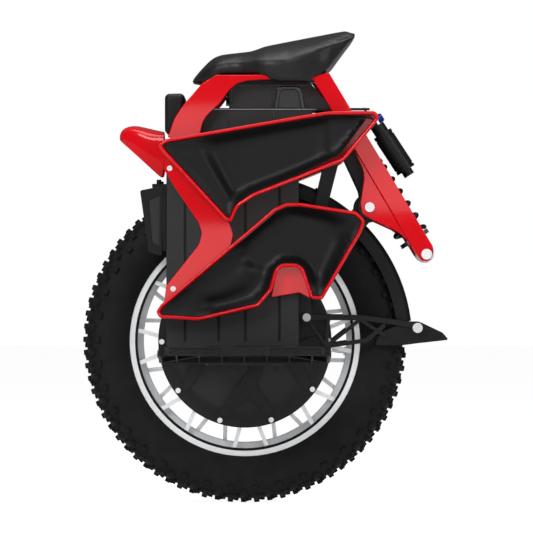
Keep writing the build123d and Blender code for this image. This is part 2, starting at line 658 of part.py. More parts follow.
def controller_board():
    """Circuit board on four posts, with its capacitors and transistor row."""
    z = DECK_Z + DECK_T + WALL
    made = block(-14, 100, -60, 60, z + 4, z + 5.6)
    for x in (-8, 94):
        for y in (-52, 52):
            made += rod(3, 4, x, y, z + 2.1, "z")
    for k in range(4):
        made += rod(7, 18, 4 + 18 * k, 40, z + 14, "z")
    made += block(-6, 90, -50, -42, z + 5, z + 17) + block(10, 60, -25, 10, z + 5, z + 10)
    return made


def power_button():
    return rod(BUTTON_R, 9, -26.2, -PANEL_Y, PANEL_Z, "x")


def charge_socket():
    """Round socket with a bore for the charger's plug and a hinge ear for the cap."""
    made = rod(SOCKET_R, 19, -18.6, PANEL_Y, PANEL_Z, "x")
    made += rod(SOCKET_R + 3, 2.4, -26.9, PANEL_Y, PANEL_Z, "x")
    made += block(-32.5, -25.7, 36, 44, 676, 681.8)
    made -= rod(SOCKET_BORE_R, 16, -24.0, PANEL_Y, PANEL_Z, "x")
    made -= rod(1.6, 12, CAP_HINGE[0], PANEL_Y, CAP_HINGE[1])
    for k in range(3):
        x_turn = Rot(120 * k, 0, 0) * Pos(0, 3.2, 0) * Rot(0, 90, 0) * Cylinder(0.9, 9)
        made += Pos(-19.5, PANEL_Y, PANEL_Z) * x_turn
    return made


def charge_cap():
    """Hinged cap of the charge socket with its pin."""
    hinge_x, hinge_z = CAP_HINGE
    made = rod(SOCKET_R + 3, 3, hinge_x, PANEL_Y, PANEL_Z, "x")
    made -= block(-40, -20, 35.6, 44.4, 674.6, 690)
    for y in (33.9, 46.1):
        made += rod(2.6, 2.8, hinge_x, y, hinge_z)
        made += block(-31.4, -28.4, y - 1.4, y + 1.4, 671, hinge_z)
    return made + rod(1.5, 14, hinge_x, PANEL_Y, hinge_z)


def seat_base():
    """Pan under the cushion, between the hoops' rails."""
    low = LID_TOP + 0.4
    points = [(-43, 690), (-43, 697.2), (138, 697.2), (138, 690, 4), (112, low), (46, low)]
    return plate(points, 0.4 - HOOP_IN, HOOP_IN - 0.4)


def seat_cushion():
    """Plain solid of the cushion; skirts at both sides hide the hoops' rails."""
    top = [(-50.7, 728.1, 20), (-40.1, 732.3, 20), (12.5, 738.2, 20), (27.2, 744.5, 20)]
    top += [(173.6, 773.4, 5), (183, 767.1, 6), (164, 742.8), (145, 714, 10), (139, 703.4, 3)]
    low = [(137, 701.4), (120, 697.5), (-46, 697.5), (-72, 684), (-90.6, 683.9), (-67.5, 713.3, 10)]
    body = plate(top + low, -SEAT_HALF_W, SEAT_HALF_W)
    skirt = [(-74, 683.9), (-62.2, 683.9), (-44.2, 696.1), (18.8, 697.0, 10), (35.6, 691.2, 10)]
    skirt += [(54.6, 683.9, 12), (111.5, 683.9, 8), (139, 705), (139, 715), (-60, 715)]
    made = body + plate(skirt, -SEAT_HALF_W, -HOOP_OUT - 0.4)
    made += right_of(plate(skirt, -SEAT_HALF_W, -HOOP_OUT - 0.4))
    plan = [(-92, -58, 20), (-10, -82, 60), (60, -SEAT_HALF_W, 40), (130, -SEAT_HALF_W, 40)]
    plan += [(185, -62, 20)]
    plan += [(x, -y, r) for x, y, r in reversed(plan)]
    corners = [(x, y) for x, y, r in plan]
    line = FilletPolyline(*corners, radius=[r for x, y, r in plan], close=True)
    return made & extrude(Pos(0, 0, 670) * make_face(line), 120)


UPPER_PAD = [(-140.8, 582.2, 5), (-127.2, 591.5, 5), (88.9, 629.1, 100), (133.7, 636.3, 100)]
UPPER_PAD += [(209, 637.1, 9), (219.4, 627.5, 9), (160.1, 556.3, 30), (88.9, 527.9), (15.3, 499.4, 20)]
UPPER_PAD += [(-10.3, 482.6, 20), (-21.5, 457.8, 4), (-31.1, 461, 4), (-127.2, 565.7, 10)]
LOWER_PAD = [(-142.4, 313.8, 5), (-136.8, 303.4, 7), (-72.7, 299.4, 30), (22.5, 321.8, 14)]
LOWER_PAD += [(44.1, 347.4, 12), (55.7, 385.8, 14), (88.9, 385.8, 14), (106.3, 334, 9)]
LOWER_PAD += [(125.5, 333, 6), (188.1, 441, 12), (194.5, 461, 8), (180.1, 474.9, 8)]
LOWER_PAD += [(90.5, 489, 14), (66.5, 488.6, 14), (47.3, 480.2, 14), (-18.3, 424.2), (-135.2, 325)]
PAD_BACK = CASE_OUT + COVER_PLATE_T + SIDE_PLATE_T + 0.4


def pad_shell(points, studs):
    """Red shell of a left pad: back, rim and the studs that it stands on."""
    made = plate(points, -PAD_OUT, -PAD_BACK)
    made -= inset_plate(points, PAD_WALL, -PAD_OUT - 1, -PAD_BACK - 4)
    for x, z in studs:
        made += rod(7, SIDE_PLATE_T + 0.5, x, -PAD_BACK + (SIDE_PLATE_T + 0.5) / 2 - 0.2, z)
    return made


def upper_pad():
    return pad_shell(UPPER_PAD, ((30, 590), (60, 540), (-10, 520), (-60, 585)))


def lower_pad():
    made = pad_shell(LOWER_PAD, ((60, 460), (-20, 340), (20, 400), (70, 420)))
    web = [(44, 336), (88, 344), (104, 336), (96, 372), (88, 390), (56, 390), (44, 372)]
    made += plate(web, -PAD_BACK - 4, -PAD_BACK)
    return made


def pad_liner(points):
    """Black dish inside a pad shell."""
    gap = PAD_WALL + 0.3
    made = inset_plate(points, gap, -PAD_OUT + 2, -PAD_BACK - 4.2)
    return made - inset_plate(points, gap + 3.5, -PAD_OUT, -PAD_BACK - 7)


def side_plate():
    """Red plate at the front of the left case, under both pads."""
    points = [(-131, 572), (-128.8, 540.7), (-113, 514.8, 10), (-74.3, 457.7, 10), (-68.8, 441, 12)]
    points += [(-73.6, 422, 20), (-126.5, 355.6, 6), (-130.2, 328.4, 2), (-105, 328), (-23.1, 418.3, 6)]
    points += [(-18.6, 438, 8), (-24.4, 455.8, 6), (-105, 572)]
    y0 = -CASE_OUT - COVER_PLATE_T - SIDE_PLATE_T - 0.1
    made = plate(points, y0, y0 + SIDE_PLATE_T)
    for x, z in PANEL_BOLTS:
        made -= rod(2.6, 20, x, y0, z)
    return made


def panel_bolts():
    y0 = -CASE_OUT - COVER_PLATE_T - SIDE_PLATE_T - 0.2
    pieces = [rod(2.5, 3, x, y0 + 1.4, z) + rod(4.4, 2, x, y0 - 1, z) for x, z in PANEL_BOLTS]
    return both_sides(group(pieces))


def nose():
    """Hollow front beak, open below for the tyre and open at the back."""
    rear = -131.5

    def shell(side, crown, drop):
        sections = []
        for y, points in ((-66, side), (0, crown), (66, side)):
            sections.append(Pos(0, y, 0) * outline(points))
        body = loft(sections, ruled=True)
        width = 64 - drop
        tip = 34 - drop
        plan = [(-210 + drop, -tip), (-150, -width), (rear + 2 * drop, -width)]
        line = Polyline(*(plan + [(x, -y) for x, y in reversed(plan)]), close=True)
        return body & extrude(Pos(0, 0, 500 - drop) * make_face(line), 140)

    under = [(rear, 526.3), (-203.2, 591.9)]
    side = [(-204.2, 600.3), (-199.4, 606), (-178.7, 606.5), (-156.8, 597.2), (rear, 597.5)]
    crown = [(-204.2, 606.3), (-198.7, 614), (-183, 618), (-160, 612.8), (rear, 606.6)]
    far = rear + 2 * WALL
    open_under = [(far, 500), (-200.5, 500)]
    side_in = [(-200.5, 597), (-197, 602.6), (-179.5, 603.2), (-157.5, 593.9), (far, 594.3)]
    crown_in = [(-200.5, 603), (-197, 610.3), (-183, 614.6), (-160, 609.4), (far, 603)]
    made = shell(side + under, crown + under, 0)
    made -= shell(side_in + open_under, crown_in + open_under, WALL)
    for s in (-1, 1):
        made += block(rear - 3, CASE_X0 - SEAT_GAP, s * 70 - 8, s * 70 + 8, 540, 590)
    return made


def lamp_bracket():
    """Fork on the front of the left case that carries the headlight."""
    x1 = CASE_X0 - 0.1
    made = block(x1 - 6, x1, -109, -67, 412, 520)
    for y0, y1 in ((-109, -106), (-70, -67)):
        ear = plate([(x1 - 5, 440), (-152, 455, 8), (-152, 485, 8), (x1 - 5, 506)], y0, y1)
        made += ear - rod(3.06, 10, LAMP_AXIS[0], (y0 + y1) / 2, LAMP_AXIS[1])
    made += block(x1 - 22, x1, -98, -78, 514, 520) + rod(4, 6, -140, -88, 522.5, "z")
    return made


def lamp_housing():
    """Left headlight body with cooling fins at the back and pivot studs."""
    made = block(-166, -140, -105.6, -70.4, 417, 510)
    made = fillet(made.edges().filter_by(Axis.Y), 5)
    made -= block(-168, -160, -102.5, -73.5, 421, 506)
    for z in (425, 433, 441, 486, 494, 502):
        made -= block(-150, -139, -107, -69, z, z + 3)
    for y in (-106.8, -69.2):
        made += rod(3, 3.4, LAMP_AXIS[0], y, LAMP_AXIS[1])
    return made


def lamp_lens():
    made = block(-166.5, -161.5, -102.3, -73.7, 421.2, 505.8)
    return fillet(made.edges().filter_by(Axis.X), 4)


# ---------------------------------------------------------------- pedals
def on_pedal(shape):
    """Moves a piece drawn level, with the hinge at the origin, to the left pedal."""
    return Pos(0, -PEDAL_HINGE_Y, PEDAL_HINGE_Z) * Rot(-PEDAL_TILT, 0, 0) * shape


def pedal():
    """Left pedal: tread plate, rim, ribs and two hinge lugs."""
    half = PEDAL_LEN / 2
    y0, y1 = -PEDAL_W - 10.3, -10.3
    top = PEDAL_T - 8
    made = block(-half, half, y0, y1, top - 4, top)
    made = fillet(made.edges().filter_by(Axis.Z), 18)
    skirt = block(-half, half, y0, y1, top - PEDAL_T, top - 4)
    skirt = fillet(skirt.edges().filter_by(Axis.Z), 18)
    hollow = block(-half + 5, half - 5, y0 + 5, y1 - 5, top - PEDAL_T - 1, top - 4)
    made += skirt - hollow
    made = chamfer(made.edges().group_by(Axis.Z)[0].filter_by(Axis.X), 2)
    for k in range(-3, 4):
        made += block(k * 36 - 1.5, k * 36 + 1.5, y0 + 4, y1 - 4, top - PEDAL_T + 2, top - 3)
    for s in (-1, 1):
        low = top - PEDAL_T + 2
        ends = [(s * 54, y0 + 3), (s * 131, y1 - 3), (s * 127, y1 - 3), (s * 50, y0 + 3)]
        made += extrude(Pos(0, 0, low) * make_face(Polyline(*ends, close=True)), PEDAL_T - 5)
        made += block(s * 25.5 - 15.7, s * 25.5 + 15.7, -10, 0, -8, 2) + rod(9, 31.4, s * 25.5, 0, 0, "x")
        made -= rod(PEDAL_PIN_R + SHAFT_GAP, 40, s * 25.5, 0, 0, "x")
        made += block(s * (half - 1) - 2.5, s * (half - 1) + 2.5, y0 + 22, y0 + 44, top - 12, top - 3)
    return on_pedal(made)


def pedal_hanger():
    """Left hanger under the case: foot plate, arms and three hinge lugs."""
    y, z, r = PEDAL_HINGE_Y, PEDAL_HINGE_Z, 9.5
    made = block(-62, 62, -117, -70, CASE_Z0 - 9, CASE_Z0 - 0.1)
    made += block(-31, 41, -117, -80, 226, CASE_Z0 - 8)
    for x0, x1 in ((-60, -41.6), (-9.4, 9.4), (41.6, 60)):
        lug = block(x0, x1, -y, -100, z - 7, z + 7) + rod(r, x1 - x0, (x0 + x1) / 2, -y, z, "x")
        lug += block(x0, x1, -117, -90, z - 7, CASE_Z0 - 5)
        foot = block(x0 + 4, x1 - 4, -y + 6, -126, 218, z - 5)
        made += lug + foot
    made -= rod(PEDAL_PIN_R + 0.02, 200, 0, -y, z, "x")
    return made


def pedal_pins():
    pin = rod(PEDAL_PIN_R, 122, 0, -PEDAL_HINGE_Y, PEDAL_HINGE_Z, "x")
    pin += rod(7, 2.5, -61.6, -PEDAL_HINGE_Y, PEDAL_HINGE_Z, "x")
    return both_sides(pin)


# ---------------------------------------------------------------- trolley handle
def trolley_sleeves():
    """Guide tubes on the inner walls of the cases."""
    made = rod(TUBE_R + 1.6, TUBE_Z1 - TUBE_Z0 - 6, TUBE_X, -TUBE_Y, (TUBE_Z0 + TUBE_Z1) / 2, "z")
    made -= rod(TUBE_R + SHAFT_GAP, 500, TUBE_X, -TUBE_Y, (TUBE_Z0 + TUBE_Z1) / 2, "z")
    return both_sides(made)


def trolley_handle():
    """Two tubes and a hollow grip block with an opening for the hand."""
    made = block(-130.2, -97.4, -67, 67, TUBE_Z1, 668)
    made = fillet(made.edges().filter_by(Axis.X), 10)
    made = fillet(made.edges().group_by(Axis.Z)[-1].filter_by(Axis.Y), 8)
    made -= block(-140, -90, -48, 48, TUBE_Z1 - 12, 644)
    for s in (-1, 1):
        made += rod(TUBE_R, TUBE_Z1 - TUBE_Z0, TUBE_X, s * TUBE_Y, (TUBE_Z0 + TUBE_Z1) / 2, "z")
        made += rod(TUBE_R, 20, TUBE_X, s * TUBE_Y, TUBE_Z1 + 5, "z")
    made -= rod(BUTTON_R + SLIDE_GAP, 16, TUBE_X, 0, 668, "z")
    return made


def handle_button():
    return rod(BUTTON_R, 6, TUBE_X, 0, 667, "z")


# ---------------------------------------------------------------- build
os.makedirs("parts", exist_ok=True)

wheel_pieces = {
    "tyre": tyre(),
    "inner_tube": inner_tube(),
    "rim": rim(),
    "valve_stem": valve_stem(),
    "motor_covers": both_sides(motor_cover()),
    "cover_bolts": cover_bolts(),
    "magnet_ring": magnet_ring(),
    "wheel_bearings": both_sides(bearing()),
}
swing_pieces = {
    "axle": axle(),
    "stator": stator(),
    "windings": windings(),
    "swing_arm": swing_arm(),
    "mudguard": mudguard(),
    "stays": both_sides(stay()),
    "stay_bolts": stay_bolts(),
    "tail_fender": tail_fender(),
    "tail_reflectors": tail_reflectors(),
    "shock_pin": shock_pin(),
}
shock_pieces = {
    "shock_shaft": shock_shaft(),
    "shock_spring": spring(),
    "shock_body": shock_body(),
    "preload_collar": preload_collar(),
    "reservoir": reservoir(),
    "damping_knob": damping_knob(),
}
chassis_pieces = {
    "hoop_left": hoop(),
    "hoop_right": right_of(hoop()),
    "cross_tubes": cross_tubes(),
    "frame_bolts": group([pivot_bolts(), panel_bolts()]),
    "battery_cases": both_sides(battery_case()),
    "battery_covers": both_sides(battery_cover()),
    "battery_packs": battery_packs(),
    "frame_core": frame_core(),
    "heat_sink": heat_sink(),
    "deck_plate": deck_plate(),
    "control_box": control_box(),
    "control_lid": control_lid(),
    "controller_board": controller_board(),
    "charge_socket": charge_socket(),
    "seat_base": seat_base(),
    "seat_cushion": seat_cushion(),
    "upper_pads": both_sides(upper_pad()),
    "lower_pads": both_sides(lower_pad()),
    "pad_liners": both_sides(group([pad_liner(UPPER_PAD), pad_liner(LOWER_PAD)])),
    "side_plates": both_sides(side_plate()),
    "nose": nose(),
    "lamp_brackets": both_sides(lamp_bracket()),
    "pedal_hangers": both_sides(pedal_hanger()),
    "pedal_pins": pedal_pins(),
    "trolley_sleeves": trolley_sleeves(),
}
moving_pieces = {
    "power_button": power_button(),
    "charge_cap": charge_cap(),
    "lamp_left": lamp_housing(),
    "lamp_right": right_of(lamp_housing()),
    "pedal_left": pedal(),
    "pedal_right": right_of(pedal()),
    "trolley_handle": trolley_handle(),
    "handle_button": handle_button(),
}
light_pieces = {
    "lamp_lens_left": lamp_lens(),
    "lamp_lens_right": right_of(lamp_lens()),
}
for pieces in (wheel_pieces, swing_pieces, shock_pieces, chassis_pieces, moving_pieces, light_pieces):
    for name, piece in pieces.items():
        save(piece, name)
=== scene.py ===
"""Electric unicycle with a sprung wheel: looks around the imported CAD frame. Metres, +Z up, -X forward."""

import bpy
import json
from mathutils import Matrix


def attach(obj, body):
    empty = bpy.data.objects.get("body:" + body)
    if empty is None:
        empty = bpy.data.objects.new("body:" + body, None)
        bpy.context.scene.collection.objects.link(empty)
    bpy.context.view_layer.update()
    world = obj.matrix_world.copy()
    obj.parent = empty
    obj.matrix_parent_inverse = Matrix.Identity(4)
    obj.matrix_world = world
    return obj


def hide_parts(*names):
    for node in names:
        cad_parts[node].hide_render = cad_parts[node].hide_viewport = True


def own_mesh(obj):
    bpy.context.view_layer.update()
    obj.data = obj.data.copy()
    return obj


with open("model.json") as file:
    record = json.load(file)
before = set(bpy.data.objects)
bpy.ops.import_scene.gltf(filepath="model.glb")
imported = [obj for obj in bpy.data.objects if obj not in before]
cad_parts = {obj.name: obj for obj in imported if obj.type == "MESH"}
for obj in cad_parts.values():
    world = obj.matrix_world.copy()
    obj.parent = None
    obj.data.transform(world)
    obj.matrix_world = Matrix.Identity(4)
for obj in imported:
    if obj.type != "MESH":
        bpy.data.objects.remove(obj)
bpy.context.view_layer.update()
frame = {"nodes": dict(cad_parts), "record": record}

import json
from math import atan2, cos, pi, radians, sin

import bmesh
import bpy
import numpy as np
from mathutils import Matrix, Vector
from mathutils.geometry import delaunay_2d_cdt

MM = 0.001
AXLE = Vector((0, 0, 0.265))
MATERIALS = {}


# ---------------------------------------------------------------- materials
def node(tree, kind, **values):
    made = tree.nodes.new(kind)
    for key, value in values.items():
        if hasattr(made, key):
            setattr(made, key, value)
        else:
            made.inputs[key.replace("_", " ")].default_value = value
    return made


def finish(name, low, high, rough=(0.4, 0.5), metal=0.0, coat=0.0, grain=900.0, depth=0.0001,
           cloud=9.0, cells=False, stretch=(1, 1, 1), spec=0.5):
    """Two-tone base with cloudy variation, uneven roughness and a fine bump, all in object space."""
    mat = bpy.data.materials.new(name)
    mat.use_nodes = True
    tree = mat.node_tree
    link = tree.links.new
    shader = tree.nodes["Principled BSDF"]
    shader.inputs["Metallic"].default_value = metal
    shader.inputs["Coat Weight"].default_value = coat
    shader.inputs["Coat Roughness"].default_value = 0.035
    shader.inputs["Specular IOR Level"].default_value = spec
    coord = node(tree, "ShaderNodeTexCoord")
    place = node(tree, "ShaderNodeMapping")
    place.inputs["Scale"].default_value = stretch
    link(coord.outputs["Object"], place.inputs["Vector"])
    big = node(tree, "ShaderNodeTexNoise", Scale=cloud, Detail=4.0, Roughness=0.6)
    link(place.outputs[0], big.inputs["Vector"])
    tone = node(tree, "ShaderNodeValToRGB")
    tone.color_ramp.elements[0].color = (*low, 1)
    tone.color_ramp.elements[1].color = (*high, 1)
    tone.color_ramp.elements[0].position = 0.32
    tone.color_ramp.elements[1].position = 0.68
    link(big.outputs[0], tone.inputs[0])
    link(tone.outputs[0], shader.inputs["Base Color"])
    fine = node(tree, "ShaderNodeTexNoise", Scale=grain, Detail=3.0, Roughness=0.55)
    link(place.outputs[0], fine.inputs["Vector"])
    span = node(tree, "ShaderNodeMapRange")
    span.inputs["To Min"].default_value, span.inputs["To Max"].default_value = rough
    mixed = node(tree, "ShaderNodeMath", operation="MULTIPLY_ADD")
    mixed.inputs[1].default_value = 0.5
    link(big.outputs[0], mixed.inputs[0])
    half = node(tree, "ShaderNodeMath", operation="MULTIPLY")
    half.inputs[1].default_value = 0.5
    link(fine.outputs[0], half.inputs[0])
    link(half.outputs[0], mixed.inputs[2])
    link(mixed.outputs[0], span.inputs[0])
    link(span.outputs[0], shader.inputs["Roughness"])
    bump = node(tree, "ShaderNodeBump", Strength=0.6, Distance=depth)
    if cells:
        pores = node(tree, "ShaderNodeTexVoronoi", feature="DISTANCE_TO_EDGE", Scale=grain * 0.6)
        link(place.outputs[0], pores.inputs["Vector"])
        ramp = node(tree, "ShaderNodeMapRange")
        ramp.inputs["From Max"].default_value = 0.25
        link(pores.outputs["Distance"], ramp.inputs[0])
        link(ramp.outputs[0], bump.inputs["Height"])
    else:
        link(fine.outputs[0], bump.inputs["Height"])
    link(bump.outputs[0], shader.inputs["Normal"])
    MATERIALS[name] = mat
    return mat


def glass_finish():
    mat = finish("lens", (0.75, 0.78, 0.82), (0.85, 0.88, 0.9), (0.04, 0.1), coat=0.4, grain=500.0)
    shader = mat.node_tree.nodes["Principled BSDF"]
    shader.inputs["Transmission Weight"].default_value = 0.85
    return mat


RED_LOW, RED_HIGH = (0.68, 0.0, 0.005), (0.76, 0.001, 0.009)
finish("red_paint", RED_LOW, RED_HIGH, (0.34, 0.44), coat=0.6, grain=420.0, depth=0.00001, spec=0.06)
finish("red_plastic", RED_LOW, RED_HIGH, (0.3, 0.4), coat=0.6, grain=500.0, depth=0.00001,
       spec=0.06)
finish("black_paint", (0.009, 0.009, 0.0095), (0.015, 0.015, 0.016), (0.42, 0.55), grain=700.0,
       spec=0.35)
finish("black_plastic", (0.003, 0.003, 0.003), (0.005, 0.005, 0.005), (0.38, 0.52), grain=1500.0,
       depth=0.00005, cells=True, spec=0.26)
finish("gloss_black", (0.007, 0.007, 0.008), (0.012, 0.012, 0.013), (0.16, 0.3), coat=0.4,
       grain=600.0, depth=0.00003)
finish("tyre_rubber", (0.006, 0.006, 0.006), (0.012, 0.0115, 0.0115), (0.62, 0.8), grain=700.0,
       depth=0.0002, cloud=30.0, spec=0.18)
finish("tube_rubber", (0.01, 0.01, 0.01), (0.015, 0.015, 0.015), (0.5, 0.6))
finish("silver_alloy", (0.8, 0.81, 0.825), (0.9, 0.91, 0.92), (0.3, 0.42), metal=0.4, grain=900.0,
       depth=0.00004, cloud=20.0)
finish("black_alloy", (0.006, 0.006, 0.0065), (0.011, 0.011, 0.0115), (0.34, 0.48), metal=0.1,
       grain=1100.0, depth=0.00006, spec=0.28)
finish("steel", (0.42, 0.42, 0.43), (0.55, 0.55, 0.56), (0.3, 0.42), metal=1.0, stretch=(1, 14, 1))
finish("bolt_chrome", (0.8, 0.8, 0.81), (0.9, 0.9, 0.91), (0.2, 0.32), metal=0.3, grain=800.0,
       depth=0.00003)
finish("core_steel", (0.16, 0.16, 0.17), (0.26, 0.26, 0.27), (0.4, 0.5), metal=1.0,
       stretch=(1, 30, 1))
finish("copper", (0.5, 0.2, 0.08), (0.65, 0.28, 0.12), (0.25, 0.4), metal=1.0, grain=1600.0)
finish("seat_vinyl", (0.005, 0.005, 0.005), (0.009, 0.009, 0.009), (0.34, 0.48), grain=1300.0,
       depth=0.0001, cells=True, coat=0.06, spec=0.3)
finish("cell_wrap", (0.03, 0.1, 0.26), (0.05, 0.14, 0.34), (0.3, 0.4), cloud=40.0)
finish("board", (0.01, 0.14, 0.04), (0.02, 0.2, 0.06), (0.3, 0.5), cloud=200.0)
finish("reflector", (0.75, 0.75, 0.76), (0.9, 0.9, 0.91), (0.12, 0.2), coat=0.8, grain=700.0,
       depth=0.0004, cells=True)
finish("blue_anodised", (0.004, 0.02, 0.2), (0.006, 0.03, 0.27), (0.25, 0.35), metal=0.7)
glass_finish()
finish("cover_black", (0.016, 0.016, 0.0165), (0.021, 0.021, 0.0215), (0.44, 0.55), grain=1400.0,
       depth=0.00006, cells=True, spec=0.35)
for row in frame["record"]["subparts"]:
    carried = frame["nodes"][row["node"]]
    for place in carried.material_slots:
        place.material = MATERIALS[row["material_slot"]]
for name in ("battery_covers", "control_box", "frame_core"):
    for place in frame["nodes"][name].material_slots:
        place.material = MATERIALS["cover_black"]


# ---------------------------------------------------------------- mesh helpers
def piece(name, verts, faces, slot, body, replaces=(), smooth=30):
    """New mesh piece; points in metres in the row frame."""
    mesh = bpy.data.meshes.new(name)
    mesh.from_pydata([tuple(v) for v in verts], [], [tuple(f) for f in faces])
    mesh.validate()
    work = bmesh.new()
    work.from_mesh(mesh)
    bmesh.ops.recalc_face_normals(work, faces=work.faces)
    work.to_mesh(mesh)
    work.free()
    made = bpy.data.objects.new(name, mesh)
    bpy.context.scene.collection.objects.link(made)
    made.data.materials.append(MATERIALS[slot])
    shade(made, smooth)
    if replaces:
        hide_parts(*replaces)
    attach(made, body)
    return made


def shade(made, angle):
    """Smooth faces, with hard edges where two faces meet at more than the angle."""
    work = bmesh.new()
    work.from_mesh(made.data)
    for face in work.faces:
        face.smooth = True
    for edge in work.edges:
        edge.smooth = len(edge.link_faces) == 2 and edge.calc_face_angle(0) < radians(angle)
    work.to_mesh(made.data)
    work.free()


def bevelled(made, width, segments=2, angle=30):
    mod = made.modifiers.new("edge", "BEVEL")
    mod.width = width
    mod.segments = segments
    mod.limit_method = "ANGLE"
    mod.angle_limit = radians(angle)
    return made


def subdivided(made, levels=2):
    mod = made.modifiers.new("round", "SUBSURF")
    mod.levels = mod.render_levels = levels
    return made


def loft(sections, closed_ring=True, caps=True, loop=False):
    """Skin over equal rings of points. Returns points and faces."""
    count = len(sections[0])
    verts = [p for ring in sections for p in ring]
    faces = []
    last = len(sections) if loop else len(sections) - 1
    around = count if closed_ring else count - 1
    for i in range(last):
        a, b = i * count, (i + 1) % len(sections) * count
        for j in range(around):
            k = (j + 1) % count
            faces.append((a + j, a + k, b + k, b + j))
    if caps and not loop:
        faces.append(tuple(range(count))[::-1])
        faces.append(tuple((len(sections) - 1) * count + j for j in range(count)))
    return verts, faces


def angles(count):
    """Evenly spaced angles round a full turn."""
    return [2 * pi * k / count for k in range(count)]


def lathe(profile, steps=96):
    """Closed profile (radius, y) in mm turned about the axle."""
    rings = []
    for a in angles(steps):
        rings.append([AXLE + Vector((r * cos(a), y, r * sin(a))) * MM for r, y in profile])
    return loft(rings, loop=True)


def join(parts):
    """Several (verts, faces) as one."""
    verts, faces = [], []
    for v, f in parts:
        base = len(verts)
        verts += v
        faces += [tuple(i + base for i in face) for face in f]
    return verts, faces


def prism(points, y0, y1):
    """Plate between two planes from (x, z, radius) corners in mm."""
    flat = rounded(points)
    return loft([[Vector((p.x, y, p.y)) * MM for p in flat] for y in (y0, y1)])


def beam(a, b, half_w, half_h, up=(0, 0, 1)):
    """Straight bar with a rectangular section between two points in mm."""
    a, b = Vector(a), Vector(b)
    along = (b - a).normalized()
    side = along.cross(Vector(up)).normalized() * half_w
    high = side.cross(along).normalized() * half_h
    ring = (side + high, side - high, -side - high, -side + high)
    return loft([[(p + q) * MM for q in ring] for p in (a, b)])


def rounded(points, steps=5):
    """2D outline with its corners rounded; points are (x, z, radius) in mm."""
    out = []
    n = len(points)
    for i, point in enumerate(points):
        here = Vector(point[:2])
        r = point[2] if len(point) > 2 else 0
        if r <= 0:
            out.append(here)
            continue
        u = (Vector(points[i - 1][:2]) - here).normalized()
        w = (Vector(points[(i + 1) % n][:2]) - here).normalized()
        half = u.angle(w) / 2
        reach = r / max(0.05, np.tan(half))
        a, b = here + u * reach, here + w * reach
        centre = here + (u + w).normalized() * (r / sin(half))
        start = atan2(*(a - centre).yx)
        turn = (atan2(*(b - centre).yx) - start + pi) % (2 * pi) - pi
        for k in range(steps + 1):
            t = start + turn * k / steps
            out.append(centre + Vector((cos(t), sin(t))) * r)
    return out


def resampled(outline, gap):
    """The outline with extra points so that no stretch is longer than the gap."""
    out = []
    for i, a in enumerate(outline):
        b = outline[(i + 1) % len(outline)]
        parts = max(1, round((b - a).length / gap))
        out += [a.lerp(b, k / parts) for k in range(parts)]
    return out


def inset(outline, amount):
    """The outline moved inwards; it has to run anticlockwise."""
    out = []
    n = len(outline)
    for i, p in enumerate(outline):
        u = (p - outline[i - 1]).normalized()
        w = (outline[(i + 1) % n] - p).normalized()
        normal = Vector((-u.y - w.y, u.x + w.x))
        if normal.length < 1e-6:
            normal = Vector((-u.y, u.x))
        normal.normalize()
        stretch = 1 / max(0.5, normal.dot(Vector((-u.y, u.x))))
        out.append(p + normal * amount * stretch)
    return out


def anticlockwise(outline):
    area = sum(a.x * b.y - b.x * a.y for a, b in zip(outline, outline[1:] + outline[:1]))
    return outline if area > 0 else outline[::-1]


def gap_to(points, line):
    """Distance from each point to a polyline, both in 2D."""
    best = np.full(len(points), 1e9)
    for a, b in zip(line[:-1], line[1:]):
        a, b = np.array(a, float), np.array(b, float)
        d = b - a
        t = np.clip(((points - a) @ d) / max(1e-9, d @ d), 0, 1)
        best = np.minimum(best, np.hypot(*(points - a - t[:, None] * d).T))
    return best


def inside(points, polygon):
    """Which of the 2D points lie inside the polygon."""
    hit = np.zeros(len(points), bool)
    x, y = points[:, 0], points[:, 1]
    for a, b in zip(polygon, polygon[1:] + polygon[:1]):
        crosses = (a[1] > y) != (b[1] > y)
        with np.errstate(divide="ignore", invalid="ignore"):
            at = (b[0] - a[0]) * (y - a[1]) / (b[1] - a[1]) + a[0]
        hit ^= crosses & (x < at)
    return hit


# ---------------------------------------------------------------- tyre
KNOBS = 38  # in each row round the tyre
FIRST_KNOB = -4.25  # degrees


def tyre_piece():
    """Carcass with its beads, and rows of tread blocks."""
    outer = [(183, 27), (182, 31), (186, 33.5), (190.9, 35), (190.9, 35.9), (188.0, 36.2), (188.4, 37.6)]
    outer += [(194, 40.2), (200, 42.8), (209, 45.2)]
    outer += [(220, 46), (231, 45.2), (239, 43), (246, 38.6), (252, 31), (256.4, 20), (258.4, 8)]
    inner = [(247, 8), (243, 22), (236, 33), (226, 39), (214, 39.5), (204, 36), (197, 30), (192, 27)]
    profile = outer + [(r, -y) for r, y in reversed(outer)] + [(r, -y) for r, y in reversed(inner)]
    profile += inner
    parts = [lathe(profile, 190)]
    # rows of knobs: base radius, y, tilt from the radius, half length, half width, height, phase
    rows = [
        (258.2, 9.6, 3, 4.4, 6.6, 6.6, 0.0),
        (257.8, 3.0, 0, 2.8, 2.4, 4.4, 0.24),
        (257.2, 16.8, 9, 3.2, 2.6, 5.0, 0.62),
        (253.6, 26.4, 20, 4.6, 5.0, 6.4, 0.0),
        (251.6, 29.6, 27, 2.8, 2.4, 5.6, 0.27),
        (252.6, 27.6, 24, 2.4, 2.2, 5.4, 0.74),
        (246.6, 37.6, 44, 4.2, 3.6, 5.2, 0.5),
        (238.5, 42.9, 62, 4.6, 3.4, 4.4, 0.0),
    ]
    pitch = 360 / KNOBS
    for base, y, tilt, half_len, half_w, height, phase in rows:
        for side in (1, -1):
            for k in range(KNOBS):
                turn = radians(FIRST_KNOB - pitch * (k + phase + (0.5 if side > 0 else 0)))
                parts.append(knob(base, y * side, tilt * side, half_len, half_w, height, turn))
    piece("tyre_tread", *join(parts), "tyre_rubber", "wheel", ("tyre",), 40)


